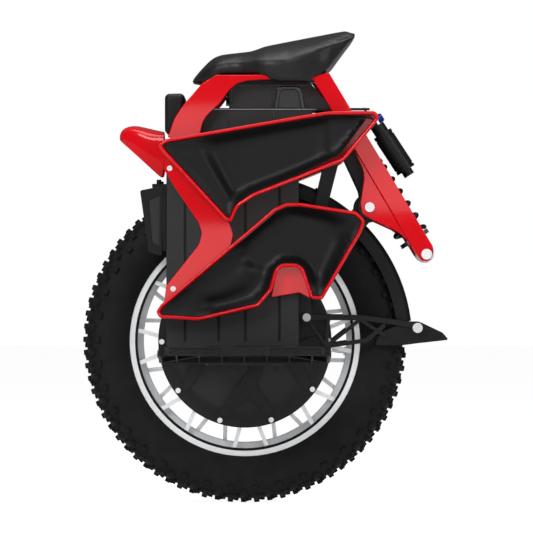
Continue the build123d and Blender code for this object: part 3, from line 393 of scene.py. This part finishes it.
def knob(base, y, tilt, half_len, half_w, height, turn):
    """One tread block with sloped walls and a chamfered top."""
    rings = []
    for share, high in ((1.18, -3.5), (1.0, height - 1.0), (0.82, height)):
        a, b = half_len * share, half_w * share
        rings.append([(-a, -b, high), (a, -b, high), (a, b, high), (-a, b, high)])
    lean = Matrix.Rotation(radians(-tilt), 4, "X")
    spin = Matrix.Rotation(turn, 4, "Y")
    place = Matrix.Translation(Vector((0, y, base)))
    out = []
    for ring in rings:
        out.append([AXLE + (spin @ (place @ (lean @ Vector(p)))) * MM for p in ring])
    return loft(out)


# ---------------------------------------------------------------- seat
SEAT_UNDER = 697.9  # height of the hollow under the cushion, above its base
# x, half width, lower edge, side crease, crown, in mm
SEAT = [
    (-90.6, 30, 684.2, 685.2, 686.5), (-84, 42, 684, 689, 695), (-76, 51, 684, 696, 704.5),
    (-67.5, 58, 684, 703, 713.3), (-60, 64, 686.2, 708, 720.6), (-50.7, 69, 692, 712, 727.6),
    (-40, 73, 696.5, 715, 732), (-25, 77, 698, 717, 734.2), (-8, 82, 698, 718, 736),
    (10, 93, 698, 719, 738), (22, 101, 697, 719.3, 742), (32, 106, 692.4, 719.5, 746),
    (44, 109, 687.3, 719.5, 748.6), (56, 110.4, 684.2, 719.6, 751), (71, 110.8, 683.9, 720, 754),
    (90, 110, 683.9, 727.2, 757.6), (110, 107.4, 684.2, 734.7, 761.4), (124, 104.6, 694.6, 740, 764),
    (138.8, 99, 707.5, 745.5, 766.8), (152, 91, 727, 750.3, 769.3), (166, 82, 745.5, 755.4, 771.6),
    (176, 73, 757.6, 760, 772.6), (183, 64, 766.4, 766.9, 769.6),
]


def seat_rows(shrink):
    """Cross sections of the cushion, a little smaller than its final size."""
    rings = []
    for x, w, low, crease, crown in SEAT:
        under = max(low, SEAT_UNDER) if -46 < x < 139 else low + 0.5
        w -= shrink
        wall = min(w - 3, max(w - 9, 101))
        top = crown - shrink
        ring = [(0, under), (wall - 14, under), (wall, under), (wall, low + 0.6), (wall + 1.2, low)]
        ring += [(w - 0.8, low), (w, low + 0.35 * (crease - low)), (w, crease - 3 * (crease > low + 6))]
        for share in (0.97, 0.9, 0.76, 0.58, 0.38, 0.18, 0.0):
            ring.append((w * share, crease + (top - crease) * (1 - share ** 2.1)))
        full = [Vector((x, y, z)) * MM for y, z in ring]
        full += [Vector((x, -y, z)) * MM for y, z in reversed(ring[1:-1])]
        rings.append(full)
    return rings


def seat_piece():
    """Padded cushion: remeshed, inflated with cloth, smoothed and rounded."""
    verts, faces = loft(seat_rows(1.2))
    made = piece("seat_pad", verts, faces, "seat_vinyl", "chassis", ("seat_cushion",), 60)
    remesh = made.modifiers.new("even", "REMESH")
    remesh.mode, remesh.voxel_size = "VOXEL", 0.0042
    apply_modifiers(made)
    inflate(made, 4.0, 0.0022)
    mod = made.modifiers.new("smooth", "LAPLACIANSMOOTH")
    mod.iterations, mod.lambda_factor = 2, 0.3
    mod.use_volume_preserve = True
    apply_modifiers(made)
    for face in made.data.polygons:
        face.use_smooth = True
    made.data.materials.clear()
    made.data.materials.append(MATERIALS["seat_vinyl"])
    subdivided(made, 1)


def apply_modifiers(made):
    """The piece's mesh becomes what its modifiers give."""
    graph = bpy.context.evaluated_depsgraph_get()
    baked = bpy.data.meshes.new_from_object(made.evaluated_get(graph), depsgraph=graph)
    made.modifiers.clear()
    made.data = baked


def inflate(made, pressure, cap):
    """Swells the piece with cloth; no point moves more than the cap."""
    scene = bpy.context.scene
    before = np.array([v.co for v in made.data.vertices])
    mod = made.modifiers.new("cloth", "CLOTH")
    rules = mod.settings
    rules.use_pressure, rules.uniform_pressure_force = True, pressure
    rules.effector_weights.gravity = 0
    rules.quality = 5
    for number in range(1, 21):
        scene.frame_set(number)
    graph = bpy.context.evaluated_depsgraph_get()
    after = np.array([v.co for v in made.evaluated_get(graph).data.vertices])
    made.modifiers.remove(mod)
    scene.frame_set(1)
    move = after - before
    size = np.linalg.norm(move, axis=1, keepdims=True)
    move *= np.minimum(1, cap / np.maximum(size, 1e-9))
    made.data.vertices.foreach_set("co", (before + move).ravel().astype(np.float32))
    made.data.update()


# ---------------------------------------------------------------- leg pads
UPPER_PAD = [(-140.8, 582.2, 5), (-127.2, 591.5, 5), (88.9, 629.1, 100), (133.7, 636.3, 100)]
UPPER_PAD += [(209, 637.1, 9), (219.4, 627.5, 9), (160.1, 556.3, 30), (88.9, 527.9), (15.3, 499.4, 20)]
UPPER_PAD += [(-10.3, 482.6, 20), (-21.5, 457.8, 4), (-31.1, 461, 4), (-127.2, 565.7, 10)]
LOWER_PAD = [(-142.4, 313.8, 5), (-136.8, 303.4, 7), (-72.7, 299.4, 30), (22.5, 321.8, 14)]
LOWER_PAD += [(44.1, 347.4, 12), (55.7, 385.8, 14), (88.9, 385.8, 14), (106.3, 334, 9)]
LOWER_PAD += [(125.5, 333, 6), (188.1, 441, 12), (194.5, 461, 8), (180.1, 474.9, 8)]
LOWER_PAD += [(90.5, 489, 14), (66.5, 488.6, 14), (47.3, 480.2, 14), (-18.3, 424.2), (-135.2, 325)]
UPPER_DISH = UPPER_PAD[:4] + [(196, 636.6, 12), (205.5, 625.5, 12), (157, 561, 30)] + UPPER_PAD[7:]
PAD_WEB = [(43, 337), (88, 344.5), (106, 335), (92, 388), (53, 388)]
PAD_FACE, PAD_BACK = 152.0, 125.6  # lip and back, as distances from the middle plane
RIM_W = 5.6
BACK_T = 0.9
DISH_T = 1.2
DISH_FALLOFF = 1.7  # how fast a ridge or a floor gives way to the next


def shell_piece(name, outline, node_name, side):
    """Red shell: rounded lip, outer wall with draft and a thin back."""
    line = anticlockwise(resampled(rounded(outline), 7.0))
    steps = [(1.6, PAD_BACK), (0.4, PAD_BACK + 6), (0.0, PAD_FACE - 4.5), (0.4, PAD_FACE - 1.6)]
    steps += [(1.5, PAD_FACE - 0.3), (2.6, PAD_FACE), (3.9, PAD_FACE - 0.5), (RIM_W, PAD_FACE - 2)]
    steps += [(RIM_W + 0.4, PAD_FACE - 6), (RIM_W + 0.9, PAD_BACK + 1.0)]
    rings = []
    for amount, y in steps:
        rings.append([Vector((p.x, side * y, p.y)) * MM for p in inset(line, amount)])
    verts, faces = loft(rings, loop=True)
    back = inset(line, RIM_W + 0.7)
    edges = [(i, (i + 1) % len(back)) for i in range(len(back))]
    flat, _, tris, _, _, _ = delaunay_2d_cdt(back, edges, [], 1, 1e-4)
    for y in (PAD_BACK, PAD_BACK + BACK_T):
        base = len(verts)
        verts += [Vector((p.x, side * y, p.y)) * MM for p in flat]
        faces += [tuple(i + base for i in t) for t in tris]
    piece(name, verts, faces, "red_plastic", "chassis", (node_name,), 50)


def dish_piece(name, outline, features, side):
    """Black dish inside a pad: rim at the lip, floor near the back, and ridges between."""
    line = anticlockwise(resampled(rounded(outline), 5.0))
    ring = [(p.x, p.y) for p in inset(line, RIM_W + 1.0)]
    low = np.min(ring, axis=0)
    high = np.max(ring, axis=0)
    gap = 3.2
    grid = [(x, z) for x in np.arange(low[0], high[0], gap) for z in np.arange(low[1], high[1], gap)]
    grid = np.array(grid)
    keep = inside(grid, ring) & (gap_to(grid, ring + ring[:1]) > 2.0)
    points = [Vector(p) for p in ring] + [Vector(p) for p in grid[keep]]
    edges = [(i, (i + 1) % len(ring)) for i in range(len(ring))]
    flat, _, tris, _, _, _ = delaunay_2d_cdt(points, edges, [], 1, 1e-4)
    spots = np.array([(p.x, p.y) for p in flat])
    from_rim = gap_to(spots, ring + ring[:1])
    lip = 1.6
    weight = 1 / np.maximum(from_rim, 0.05) ** DISH_FALLOFF
    total, depth = weight.copy(), weight * lip
    for kind, where, level, strength in features:
        if kind == "floor":
            d = np.where(inside(spots, list(where)), 0.0, gap_to(spots, list(where) + [where[0]]))
        else:
            d = gap_to(spots, list(where))
        w = strength / np.maximum(d, 0.35) ** DISH_FALLOFF
        total += w
        depth += w * level
    depth = depth / total
    sides = np.array([(t[i], t[i - 1]) for t in tris for i in range(3)])
    for _ in range(4):
        near, count = np.zeros(len(depth)), np.zeros(len(depth))
        for a, b in (sides.T, sides.T[::-1]):
            np.add.at(near, a, depth[b])
            np.add.at(count, a, 1)
        depth = np.where(from_rim < 3, depth, near / np.maximum(count, 1))
    depth[from_rim < 0.05] = lip
    front = [Vector((s[0], side * (PAD_FACE - d), s[1])) * MM for s, d in zip(spots, depth)]
    made = piece(name, front, tris, "black_plastic", "chassis", ("pad_liners",), 35)
    thick = made.modifiers.new("wall", "SOLIDIFY")
    thick.thickness, thick.offset = DISH_T * MM, -1
    apply_modifiers(made)
    keep_in(made, side)
    shade(made, 35)


def keep_in(made, side):
    """No point lies behind the pad's back."""
    limit = (PAD_BACK + DISH_T) * MM
    for v in made.data.vertices:
        if side * v.co.y < limit:
            v.co.y = side * limit


def pads():
    """Two leg pads on each side: a red shell, a black dish with its own relief, and the red web."""
    upper = [
        ("floor", ((-44.6, 575.7), (-15.2, 505.6), (119.1, 560.1), (119.1, 612.0)), 23.0, 3.0),
        ("line", ((-128.6, 577.6), (-70.1, 560.4), (-28.1, 494.7)), 6.0, 1.8),
        ("line", ((131.0, 566.0), (131.0, 614.0)), 20.5, 1.2),
        ("floor", ((139, 570), (139, 618), (184, 624), (190, 618)), 13.0, 2.4),
    ]
    bowl = ((14, 398), (9, 422.8), (31.3, 448), (76.3, 468), (122.9, 456), (138, 429.2))
    bowl += ((119.7, 375), (104, 396), (86, 402), (62, 402), (40.9, 386))
    lower = [
        ("floor", bowl, 22.5, 2.6),
        ("line", ((-101.8, 331.3), (-45.7, 347.8), (-9.9, 364), (5, 381.8)), 7.0, 2.0),
        ("line", ((-52, 322), (-20, 329), (10, 343), (30, 366)), 18.0, 1.8),
    ]
    for side, tag in ((-1, "left"), (1, "right")):
        shell_piece(f"upper_shell_{tag}", UPPER_PAD, "upper_pads", side)
        shell_piece(f"lower_shell_{tag}", LOWER_PAD, "lower_pads", side)
        dish_piece(f"upper_dish_{tag}", UPPER_DISH, upper, side)
        dish_piece(f"lower_dish_{tag}", LOWER_PAD, lower, side)
        web = prism(PAD_WEB, side * 133.5, side * 126)
        bevelled(piece(f"lower_web_{tag}", *web, "red_plastic", "chassis"), 0.001)


# ---------------------------------------------------------------- nose
# x, half width, lower edge, side shoulder, crown, in mm
NOSE = [
    (-205.2, 20, 594.5, 598.5, 601), (-202.8, 32, 591.3, 603.6, 608.3), (-197, 41, 586, 607, 614),
    (-184, 49, 574.5, 608, 618), (-170, 55.5, 561.8, 604.8, 616.2), (-157, 60, 549.8, 598.6, 613),
    (-145, 63, 538.8, 598, 610.2), (-132.2, 64.6, 527, 598.4, 607.4),
]


def nose_piece():
    """Rounded beak: an open shell over the front of the tyre, with two tabs at the cases."""
    rings = []
    for x, w, low, shoulder, crown in NOSE:
        rise = crown - shoulder
        half = [(w * 0.97, low), (w, (low + shoulder) / 2), (w * 0.985, shoulder - 3.5)]
        half += [(w * 0.93, shoulder + 0.18 * rise), (w * 0.72, shoulder + 0.62 * rise)]
        half += [(w * 0.38, shoulder + 0.92 * rise)]
        ring = half + [(0, crown)] + [(-y, z) for y, z in reversed(half)]
        rings.append([Vector((x, y, z)) * MM for y, z in ring])
    verts, faces = loft(rings, closed_ring=False, caps=False)
    faces.append(tuple(range(len(rings[0]))))
    made = piece("beak", verts, faces, "red_plastic", "chassis", ("nose",), 60)
    subdivided(made, 2)
    wall = made.modifiers.new("wall", "SOLIDIFY")
    wall.thickness, wall.offset = 0.0026, -1
    tabs = []
    for side in (-1, 1):
        tab = [Vector((x, side * y, z)) * MM for x in (-134.5, -126.7) for y, z in
               ((60, 543), (77, 543), (77, 588), (60, 588))]
        walls = [(0, 4, 5, 1), (1, 5, 6, 2), (2, 6, 7, 3), (3, 7, 4, 0)]
        tabs.append((tab, [(0, 1, 2, 3), (7, 6, 5, 4)] + walls))
    bevelled(piece("beak_tabs", *join(tabs), "red_plastic", "chassis"), 0.0012)


# ---------------------------------------------------------------- headlights
LAMP_SIDE = [(-169.4, 509.6, 3), (-141, 515.6, 2), (-141, 405.5, 2), (-154.6, 409.2, 3)]
LAMP_IN, LAMP_OUT = 71.0, 105.2  # sides of the lamp body, from the middle plane
LAMP_BACK = -141.5  # where the cooling fins stand
LENS_TOP, LENS_FOOT = Vector((-168.2, 0, 504.0)), Vector((-157.0, 0, 415.0))
LENS_IN, LENS_W = 75.5, 25.4
BOWL = ((4.2, 1.4), (3.0, 3.6), (0.6, 5.2), (0.0, 5.8), (0.4, 6.1), (4.8, 3.9))  # depth, radius


def headlight(side, tag):
    """Slanted lamp body with cooling fins, a bezel round the curved lens, and eight reflector bowls."""
    lamp_body(side, tag)
    lamp_fins(side, tag)
    lamp_lens(side, tag)
    lamp_bowls(side, tag)


def lamp_body(side, tag):
    """Body with a bezel cut into its front."""
    verts, faces = prism(LAMP_SIDE, side * LAMP_IN, side * LAMP_OUT)
    made = piece(f"headlight_{tag}", verts, faces, "black_plastic", f"lamp_{tag}", (f"lamp_{tag}",))
    work = bmesh.new()
    work.from_mesh(made.data)
    front = [f for f in work.faces if f.normal.x < -0.9 and f.calc_area() > 0.001]
    for face in front:
        bmesh.ops.inset_region(work, faces=[face], thickness=0.0035, depth=0)
        bmesh.ops.inset_region(work, faces=[face], thickness=0.0008, depth=-0.004)
    work.to_mesh(made.data)
    work.free()
    shade(made, 30)
    bevelled(made, 0.0007)


def lamp_fins(side, tag):
    """Seven cooling fins on the back and five short ones on the outer face."""
    parts = []
    for k in range(7):
        z = 420 + 14 * k
        parts.append(beam((LAMP_BACK, side * 72, z), (LAMP_BACK, side * 104, z), 3.2, 1.3))
    for k in range(5):
        z = 428 + 16 * k
        x = -160.6 + (z - 410) * -0.062
        parts.append(beam((x + 6, side * 103.6, z), (x + 13.5, side * 103.6, z), 0.7, 1.0))
    bevelled(piece(f"headlight_fins_{tag}", *join(parts), "black_alloy", f"lamp_{tag}"), 0.0004)


def lamp_lens(side, tag):
    """Clear lens that bulges to the front."""
    rings = []
    for reach, bulge in ((0.0, 2.6), (0.12, 0.6), (0.5, -0.4), (0.88, 0.6), (1.0, 2.6)):
        p = LENS_TOP.lerp(LENS_FOOT, reach)
        ring = []
        for k in range(9):
            t = k / 8
            y = LENS_IN + LENS_W * t
            dip = bulge + 0.8 * abs(2 * t - 1) ** 4
            ring.append(Vector((p.x + 1.6 + dip, side * y, p.z)) * MM)
        rings.append(ring)
    verts, faces = loft(rings, closed_ring=False, caps=False)
    lens = piece(f"headlight_lens_{tag}", verts, faces, "lens", f"lamp_{tag}", (f"lamp_lens_{tag}",), 50)
    wall = lens.modifiers.new("wall", "SOLIDIFY")
    wall.thickness = 0.0012


def lamp_bowls(side, tag):
    """Two columns of four reflector bowls behind the lens."""
    reflectors = []
    for k in range(4):
        z = 431 + 20 * k
        x = -158.5 - (z - 415) * 0.126 + 4.5
        for y in (81.5, 94.5):
            rings = []
            for depth, r in BOWL:
                rings.append([Vector((x + depth, side * y + r * cos(a), z + r * sin(a))) * MM
                              for a in angles(14)])
            reflectors.append(loft(rings))
    piece(f"headlight_bowls_{tag}", *join(reflectors), "bolt_chrome", f"lamp_{tag}", (), 50)


def lamp_fork(side, tag):
    """Back plate, two cheeks and a locking knob; the outer cheek frames a recessed panel."""
    cheek = [(-169.4, 509.4, 3), (-131, 517.6, 3), (-133.6, 403, 3), (-155.4, 410.4, 3)]
    window = [(-155.5, 493.5, 2), (-137, 502.5, 2), (-138, 419, 2), (-149.6, 425.5, 2)]
    outer, hole = rounded(cheek), rounded(window)
    near, far = side * 106.3, side * 109
    rings = []
    for outline, y in ((outer, near), (outer, far), (hole, far), (hole, near)):
        rings.append([Vector((p.x, y, p.y)) * MM for p in outline])
    parts = [loft(rings, loop=True), prism(cheek, side * 67, side * 69.8)]
    parts.append(beam((-129.8, side * 88, 412), (-129.8, side * 88, 520), 2.8, 21, (0, 1, 0)))
    parts.append(prism([(-150, 514.5), (-150, 520.5), (-127, 520.5), (-127, 514.5)], side * 78, side * 98))
    parts.append(loft([[Vector((-139 + r * cos(a), side * 88 + r * sin(a), z)) * MM
                        for a in angles(16)]
                       for r, z in ((4, 520.6), (4, 526.5), (3, 527.5))]))
    bevelled(piece(f"lamp_fork_{tag}", *join(parts), "black_plastic", "chassis", ("lamp_brackets",)), 0.0005)
    panel = prism([(x, z) for x, z, _ in window], side * 106.5, side * 107.1)
    paler(piece(f"lamp_panel_{tag}", *panel, "black_paint", "chassis"))


def paler(made):
    """The casing's matt black, a shade lighter than the paint."""
    made.data.materials[0] = MATERIALS["cover_black"]


# ---------------------------------------------------------------- wheel and spring dress
def wheel_details(side, tag):
    """A flat black ring on the rim's face as painted shade of a groove, and the pale field between the motor
    cover's ribs.
    """
    # Flat black ring laid on the rim's face: painted shade where a groove would be, as no groove is cut.
    groove_shade_ring = [(174.9, 35.58), (179.3, 35.58), (179.3, 35.9), (174.9, 35.9)]
    piece(f"rim_groove_shade_{tag}", *lathe([(r, side * y) for r, y in groove_shade_ring]), "tyre_rubber", "wheel")
    field = [(49, 40.6), (104, 40.6), (116.5, 43.12), (116.5, 43.4), (104, 40.95), (49, 40.95)]
    paler(piece(f"hub_field_{tag}", *lathe([(r, side * y) for r, y in field]), "black_paint", "wheel"))


COVER_GROOVES = (-96.3, -42.0, 1.2, 56.2)
COVER_FACE = 122.0


def cover_groove_shade(side, tag):
    """Dark rubber strips in and over the battery cover's grooves, as painted shade in the grooves."""
    parts = []
    # Each groove gets a sunk dark strip and a wider thin one on the face: painted shade in the groove.
    for x in COVER_GROOVES:
        for proud, margin, half_w, half_t in ((-0.6, 1, 1.45, 1.0), (0.25, 0, 2.1, 0.22)):
            y = side * (COVER_FACE + proud)
            parts.append(beam((x, y, 266 + margin), (x, y, 569 - margin), half_w, half_t, (0, 1, 0)))
    piece(f"cover_groove_shade_{tag}", *join(parts), "tyre_rubber", "chassis")


SHOCK_FOOT = Vector((294.6, 0, 406.5))  # lower eye
SHOCK_AXIS = Vector((-0.5464, 0, 0.8375))


def coil_piece():
    """Coil spring between the two cups."""
    # ends of the coil along the damper from the lower eye, then pitch and radii
    low, high, pitch, coil_r, wire_r = 38.4, 160.6, 23.5, 24.0, 4.1
    along = SHOCK_AXIS.normalized()
    across = Vector((along.z, 0, -along.x))
    turns = (high - low) / pitch
    steps = round(turns * 28)
    rings = []
    for i in range(steps + 1):
        t = 2 * pi * turns * i / steps
        out = across * cos(t) + Vector((0, 1, 0)) * sin(t)
        middle = SHOCK_FOOT + along * (low + (high - low) * i / steps) + out * coil_r
        rings.append([(middle + (out * cos(a) + along * sin(a)) * wire_r) * MM for a in angles(12)])
    made = piece("coil_spring", *loft(rings), "black_alloy", "shock_lower", ("shock_spring",), 50)
    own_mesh(made)


# ---------------------------------------------------------------- pedals
PEDAL_HINGE_Y, PEDAL_HINGE_Z, PEDAL_TILT = 150, 236, radians(9)
PEDAL_EDGE = -110.6  # outer edge, from the hinge
STUD_PITCH = 26
STUD = ((4.4, 5.6), (4.4, 6.8), (2.9, 7.1), (2.4, 8.3), (1.7, 8.7))  # radius, height above the plate


def pedal_details(side, tag):
    """Studs, tread ribs, and a truss and a plate on the outer edge of one pedal."""
    def place(x, y, z):
        across = -y * cos(PEDAL_TILT) - z * sin(PEDAL_TILT)
        high = PEDAL_HINGE_Z - y * sin(PEDAL_TILT) + z * cos(PEDAL_TILT)
        return Vector((x, side * (PEDAL_HINGE_Y + across), high))

    up = place(0, 0, 1) - place(0, 0, 0)

    parts = []
    for row, y in enumerate((-22, -44, -66, -90)):
        for k in range(9 - row % 2):
            x = STUD_PITCH * (k - 4 + row % 2 / 2)
            rings = []
            for r, z in STUD:
                rings.append([place(x + r * cos(a), y + r * sin(a), z) * MM for a in angles(6)])
            parts.append(loft(rings))
    piece(f"pedal_studs_{tag}", *join(parts), "black_alloy", f"pedal_{tag}", (), 20)
    parts = []
    for k in range(26):
        x = -125 + 10 * k
        parts.append(beam(place(x, -15, 6.0), place(x, -104, 6.0), 1.0, 0.7, up))
    bevelled(piece(f"pedal_tread_{tag}", *join(parts), "black_plastic", f"pedal_{tag}"), 0.0003)
    parts = []
    zigzag = ((120, -3), (96, 5), (70, -6), (52, 5), (44, -7))
    for s in (-1, 1):
        for a, b in zip(zigzag, zigzag[1:]):
            start, end = (place(s * x, PEDAL_EDGE, z) for x, z in (a, b))
            parts.append(beam(start, end, 0.9, 1.3, up))
    # upper rail, lower rail and middle plate: ends in x, place outwards, height, half sizes
    for x0, x1, out, z, half_w, half_h in ((-118, 118, 0.2, 4.4, 1.3, 1.5), (-122, 122, 0, -6.8, 1.0, 1.0),
                                           (-37, 42, 0.3, -0.8, 1.0, 6.6)):
        y = PEDAL_EDGE - out
        parts.append(beam(place(x0, y, z), place(x1, y, z), half_w, half_h, up))
    bevelled(piece(f"pedal_truss_{tag}", *join(parts), "black_alloy", f"pedal_{tag}"), 0.0004)


# ---------------------------------------------------------------- control box dress
def box_details(side, tag):
    """Arched scoop, panel lines, two dark lines as painted shade in the upper core's grooves, and a thin
    steel strip as a painted highlight on the deck's lower edge.
    """
    wide = [(46, 644.5), (48.6, 656), (52.6, 679.5, 9), (91, 679.5, 9), (96.6, 656), (99, 644.5)]
    tight = [(53.4, 644.5), (55.4, 656), (58, 674.5, 6), (86, 674.5, 6), (89.4, 656), (91.4, 644.5)]
    a, b = rounded(wide, 6), rounded(tight, 6)
    rings = []
    for p, q in zip(a, b):
        near, deep = side * 80.2, side * 76.3
        shoulder = p.x + (q.x - p.x) * 0.15
        crown = p.lerp(q, 0.5)
        ring = [(p.x, deep, p.y), (shoulder, near - side * 0.8, p.y), (crown.x, near, crown.y)]
        ring += [(q.x, near - side * 1.2, q.y), (q.x, deep, q.y)]
        rings.append([Vector(v) * MM for v in ring])
    verts, faces = loft(rings)
    piece(f"scoop_{tag}", verts, faces, "gloss_black", "chassis", (), 50)
    inner = [(54, 645), (56.2, 656), (59, 673.8, 6), (85, 673.8, 6), (88.6, 656), (90.6, 645)]
    piece(f"scoop_floor_{tag}", *prism(inner, side * 76.0, side * 77.0), "gloss_black", "chassis")
    parts = []
    for x in (-21.5, 44.2, 102.5):
        parts.append(beam((x, side * 76.4, 646), (x, side * 76.4, 679), 0.7, 0.9, (0, 1, 0)))
    parts.append(beam((-23, side * 76.3, 680.5), (106, side * 76.3, 680.5), 0.7, 0.8, (0, 1, 0)))
    # Two dark lines on the upper core: painted shade in its grooves.
    for x in (-25.4, 46.6):
        parts.append(beam((x, side * 79.4, 606), (x, side * 79.4, 638), 0.5, 0.9, (0, 1, 0)))
    bevelled(piece(f"box_seams_and_groove_shade_{tag}", *join(parts), "gloss_black", "chassis"), 0.0003)
    # Thin steel strip along the deck's lower edge: a painted highlight where light catches the edge.
    edge_highlight = beam((-69, side * 79.9, 641.9), (116, side * 79.9, 641.9), 0.35, 0.6, (0, 1, 0))
    piece(f"deck_edge_highlight_{tag}", *edge_highlight, "steel", "chassis")


tyre_piece()
seat_piece()
pads()
nose_piece()
for side, tag in ((-1, "left"), (1, "right")):
    headlight(side, tag)
    lamp_fork(side, tag)
    pedal_details(side, tag)
    box_details(side, tag)
    wheel_details(side, tag)
    cover_groove_shade(side, tag)
coil_piece()


# ---------------------------------------------------------------- eased copies of hard CAD edges
def eased(node_name, width, slot, body, angle=30):
    """The CAD node's own form with its edges rounded a little."""
    source = frame["nodes"][node_name]
    work = bmesh.new()
    work.from_mesh(source.data)
    bmesh.ops.remove_doubles(work, verts=work.verts, dist=1e-6)
    bmesh.ops.dissolve_limit(work, angle_limit=radians(0.6), verts=work.verts, edges=work.edges)
    mesh = bpy.data.meshes.new(f"{node_name}_eased")
    work.to_mesh(mesh)
    work.free()
    made = bpy.data.objects.new(f"{node_name}_eased", mesh)
    bpy.context.scene.collection.objects.link(made)
    made.data.materials.append(MATERIALS[slot])
    shade(made, 35)
    bevelled(made, width, 2, angle)
    made.modifiers["edge"].use_clamp_overlap = False
    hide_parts(node_name)
    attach(made, body)
    return made


for name, width, slot_name, body_name in (
    ("hoop_left", 0.0011, "red_paint", "chassis"),
    ("hoop_right", 0.0011, "red_paint", "chassis"),
    ("side_plates", 0.0006, "red_plastic", "chassis"),
    ("trolley_handle", 0.0012, "black_plastic", "trolley_handle"),
    ("swing_arm", 0.0008, "black_paint", "swing"),
    ("stays", 0.0005, "black_alloy", "swing"),
    ("tail_fender", 0.0007, "black_plastic", "swing"),
    ("pedal_hangers", 0.0006, "black_alloy", "chassis"),
    ("pedal_left", 0.0006, "black_alloy", "pedal_left"),
    ("pedal_right", 0.0006, "black_alloy", "pedal_right"),
):
    eased(name, width, slot_name, body_name)


# ---------------------------------------------------------------- stage, light and camera
def lit_by_camera(tree, socket, light, seen):
    """One strength for the light that a backdrop gives, another for how bright it looks."""
    path = tree.nodes.new("ShaderNodeLightPath")
    level = tree.nodes.new("ShaderNodeMapRange")
    level.inputs["To Min"].default_value, level.inputs["To Max"].default_value = light, seen
    tree.links.new(path.outputs["Is Camera Ray"], level.inputs[0])
    tree.links.new(level.outputs[0], socket)


def see_through_from_below(tree, shader):
    """The floor's back is clear, so that the underside can be looked at."""
    clear = tree.nodes.new("ShaderNodeBsdfTransparent")
    mix = tree.nodes.new("ShaderNodeMixShader")
    side = tree.nodes.new("ShaderNodeNewGeometry")
    tree.links.new(side.outputs["Backfacing"], mix.inputs[0])
    tree.links.new(shader.outputs[0], mix.inputs[1])
    tree.links.new(clear.outputs[0], mix.inputs[2])
    tree.links.new(mix.outputs[0], tree.nodes["Material Output"].inputs["Surface"])


def stage_floor():
    """Pale round floor, wide enough to reach the horizon in every view."""
    mesh = bpy.data.meshes.new("floor")
    steps = 64
    rings = [[Vector((r * cos(a), r * sin(a), 0)) for a in angles(steps)] for r in (16, 5, 2, 0.5)]
    verts, faces = loft(rings, caps=False)
    faces.append(tuple(range(len(verts) - steps, len(verts))))
    mesh.from_pydata(verts, [], faces)
    made = bpy.data.objects.new("floor", mesh)
    bpy.context.scene.collection.objects.link(made)
    mat = bpy.data.materials.new("floor")
    mat.use_nodes = True
    shader = mat.node_tree.nodes["Principled BSDF"]
    shader.inputs["Base Color"].default_value = (0.35, 0.35, 0.35, 1)
    shader.inputs["Roughness"].default_value = 0.9
    shader.inputs["Emission Color"].default_value = (1, 1, 1, 1)
    lit_by_camera(mat.node_tree, shader.inputs["Emission Strength"], 0.45, 0.93)
    see_through_from_below(mat.node_tree, shader)
    made.data.materials.append(mat)


def area(name, where, target, size, power):
    """Rectangular softbox that faces the target."""
    light = bpy.data.lights.new(name, "AREA")
    light.shape, light.size, light.size_y, light.energy = "RECTANGLE", size[0], size[1], power
    made = bpy.data.objects.new(name, light)
    made.location = where
    made.rotation_euler = (Vector(target) - Vector(where)).to_track_quat("-Z", "Y").to_euler()
    bpy.context.scene.collection.objects.link(made)
    return made


def front_card(name, x0, x1, z0, z1, radiance):
    """Softbox in the plane y = -5, facing the object; it shows as a sheen on flat painted faces."""
    where = ((x0 + x1) / 2, -5.0, (z0 + z1) / 2)
    size = (x1 - x0, z1 - z0)
    made = area(name, where, (where[0], 0, where[2]), size, 4 * size[0] * size[1] * radiance)
    made.visible_camera = False


stage_floor()
world = bpy.data.worlds.new("studio")
bpy.context.scene.world = world
world.use_nodes = True
sky = world.node_tree.nodes["Background"]
lit_by_camera(world.node_tree, sky.inputs["Strength"], 0.11, 1.0)
sky.inputs[0].default_value = (1, 1, 1, 1)
middle = (0.04, 0, 0.4)
area("key", (-1.7, -3.0, 2.7), middle, (1.8, 1.8), 88)
area("fill", (2.6, -2.6, 2.0), middle, (1.6, 1.6), 32)
area("top", (0.0, 0.3, 3.4), middle, (2.4, 2.4), 60)
for name, x0, x1, z0, z1 in (("low", -1.3, 0.25, -0.6, 0.497), ("mid", -1.3, -0.07, 0.692, 0.81),
                             ("high", 0.254, 1.3, 0.53, 1.5)):
    front_card(name, x0, x1, z0, z1, 1.85)
bpy.context.scene.view_settings.view_transform = "Standard"

camera = bpy.data.cameras.new("camera")
camera.lens = 329.5
camera.clip_end = 100
view = bpy.data.objects.new("camera", camera)
view.location = (0.0353, -8.0, 0.3866)
view.rotation_euler = (radians(90), 0, 0)
bpy.context.scene.collection.objects.link(view)
bpy.context.scene.camera = view
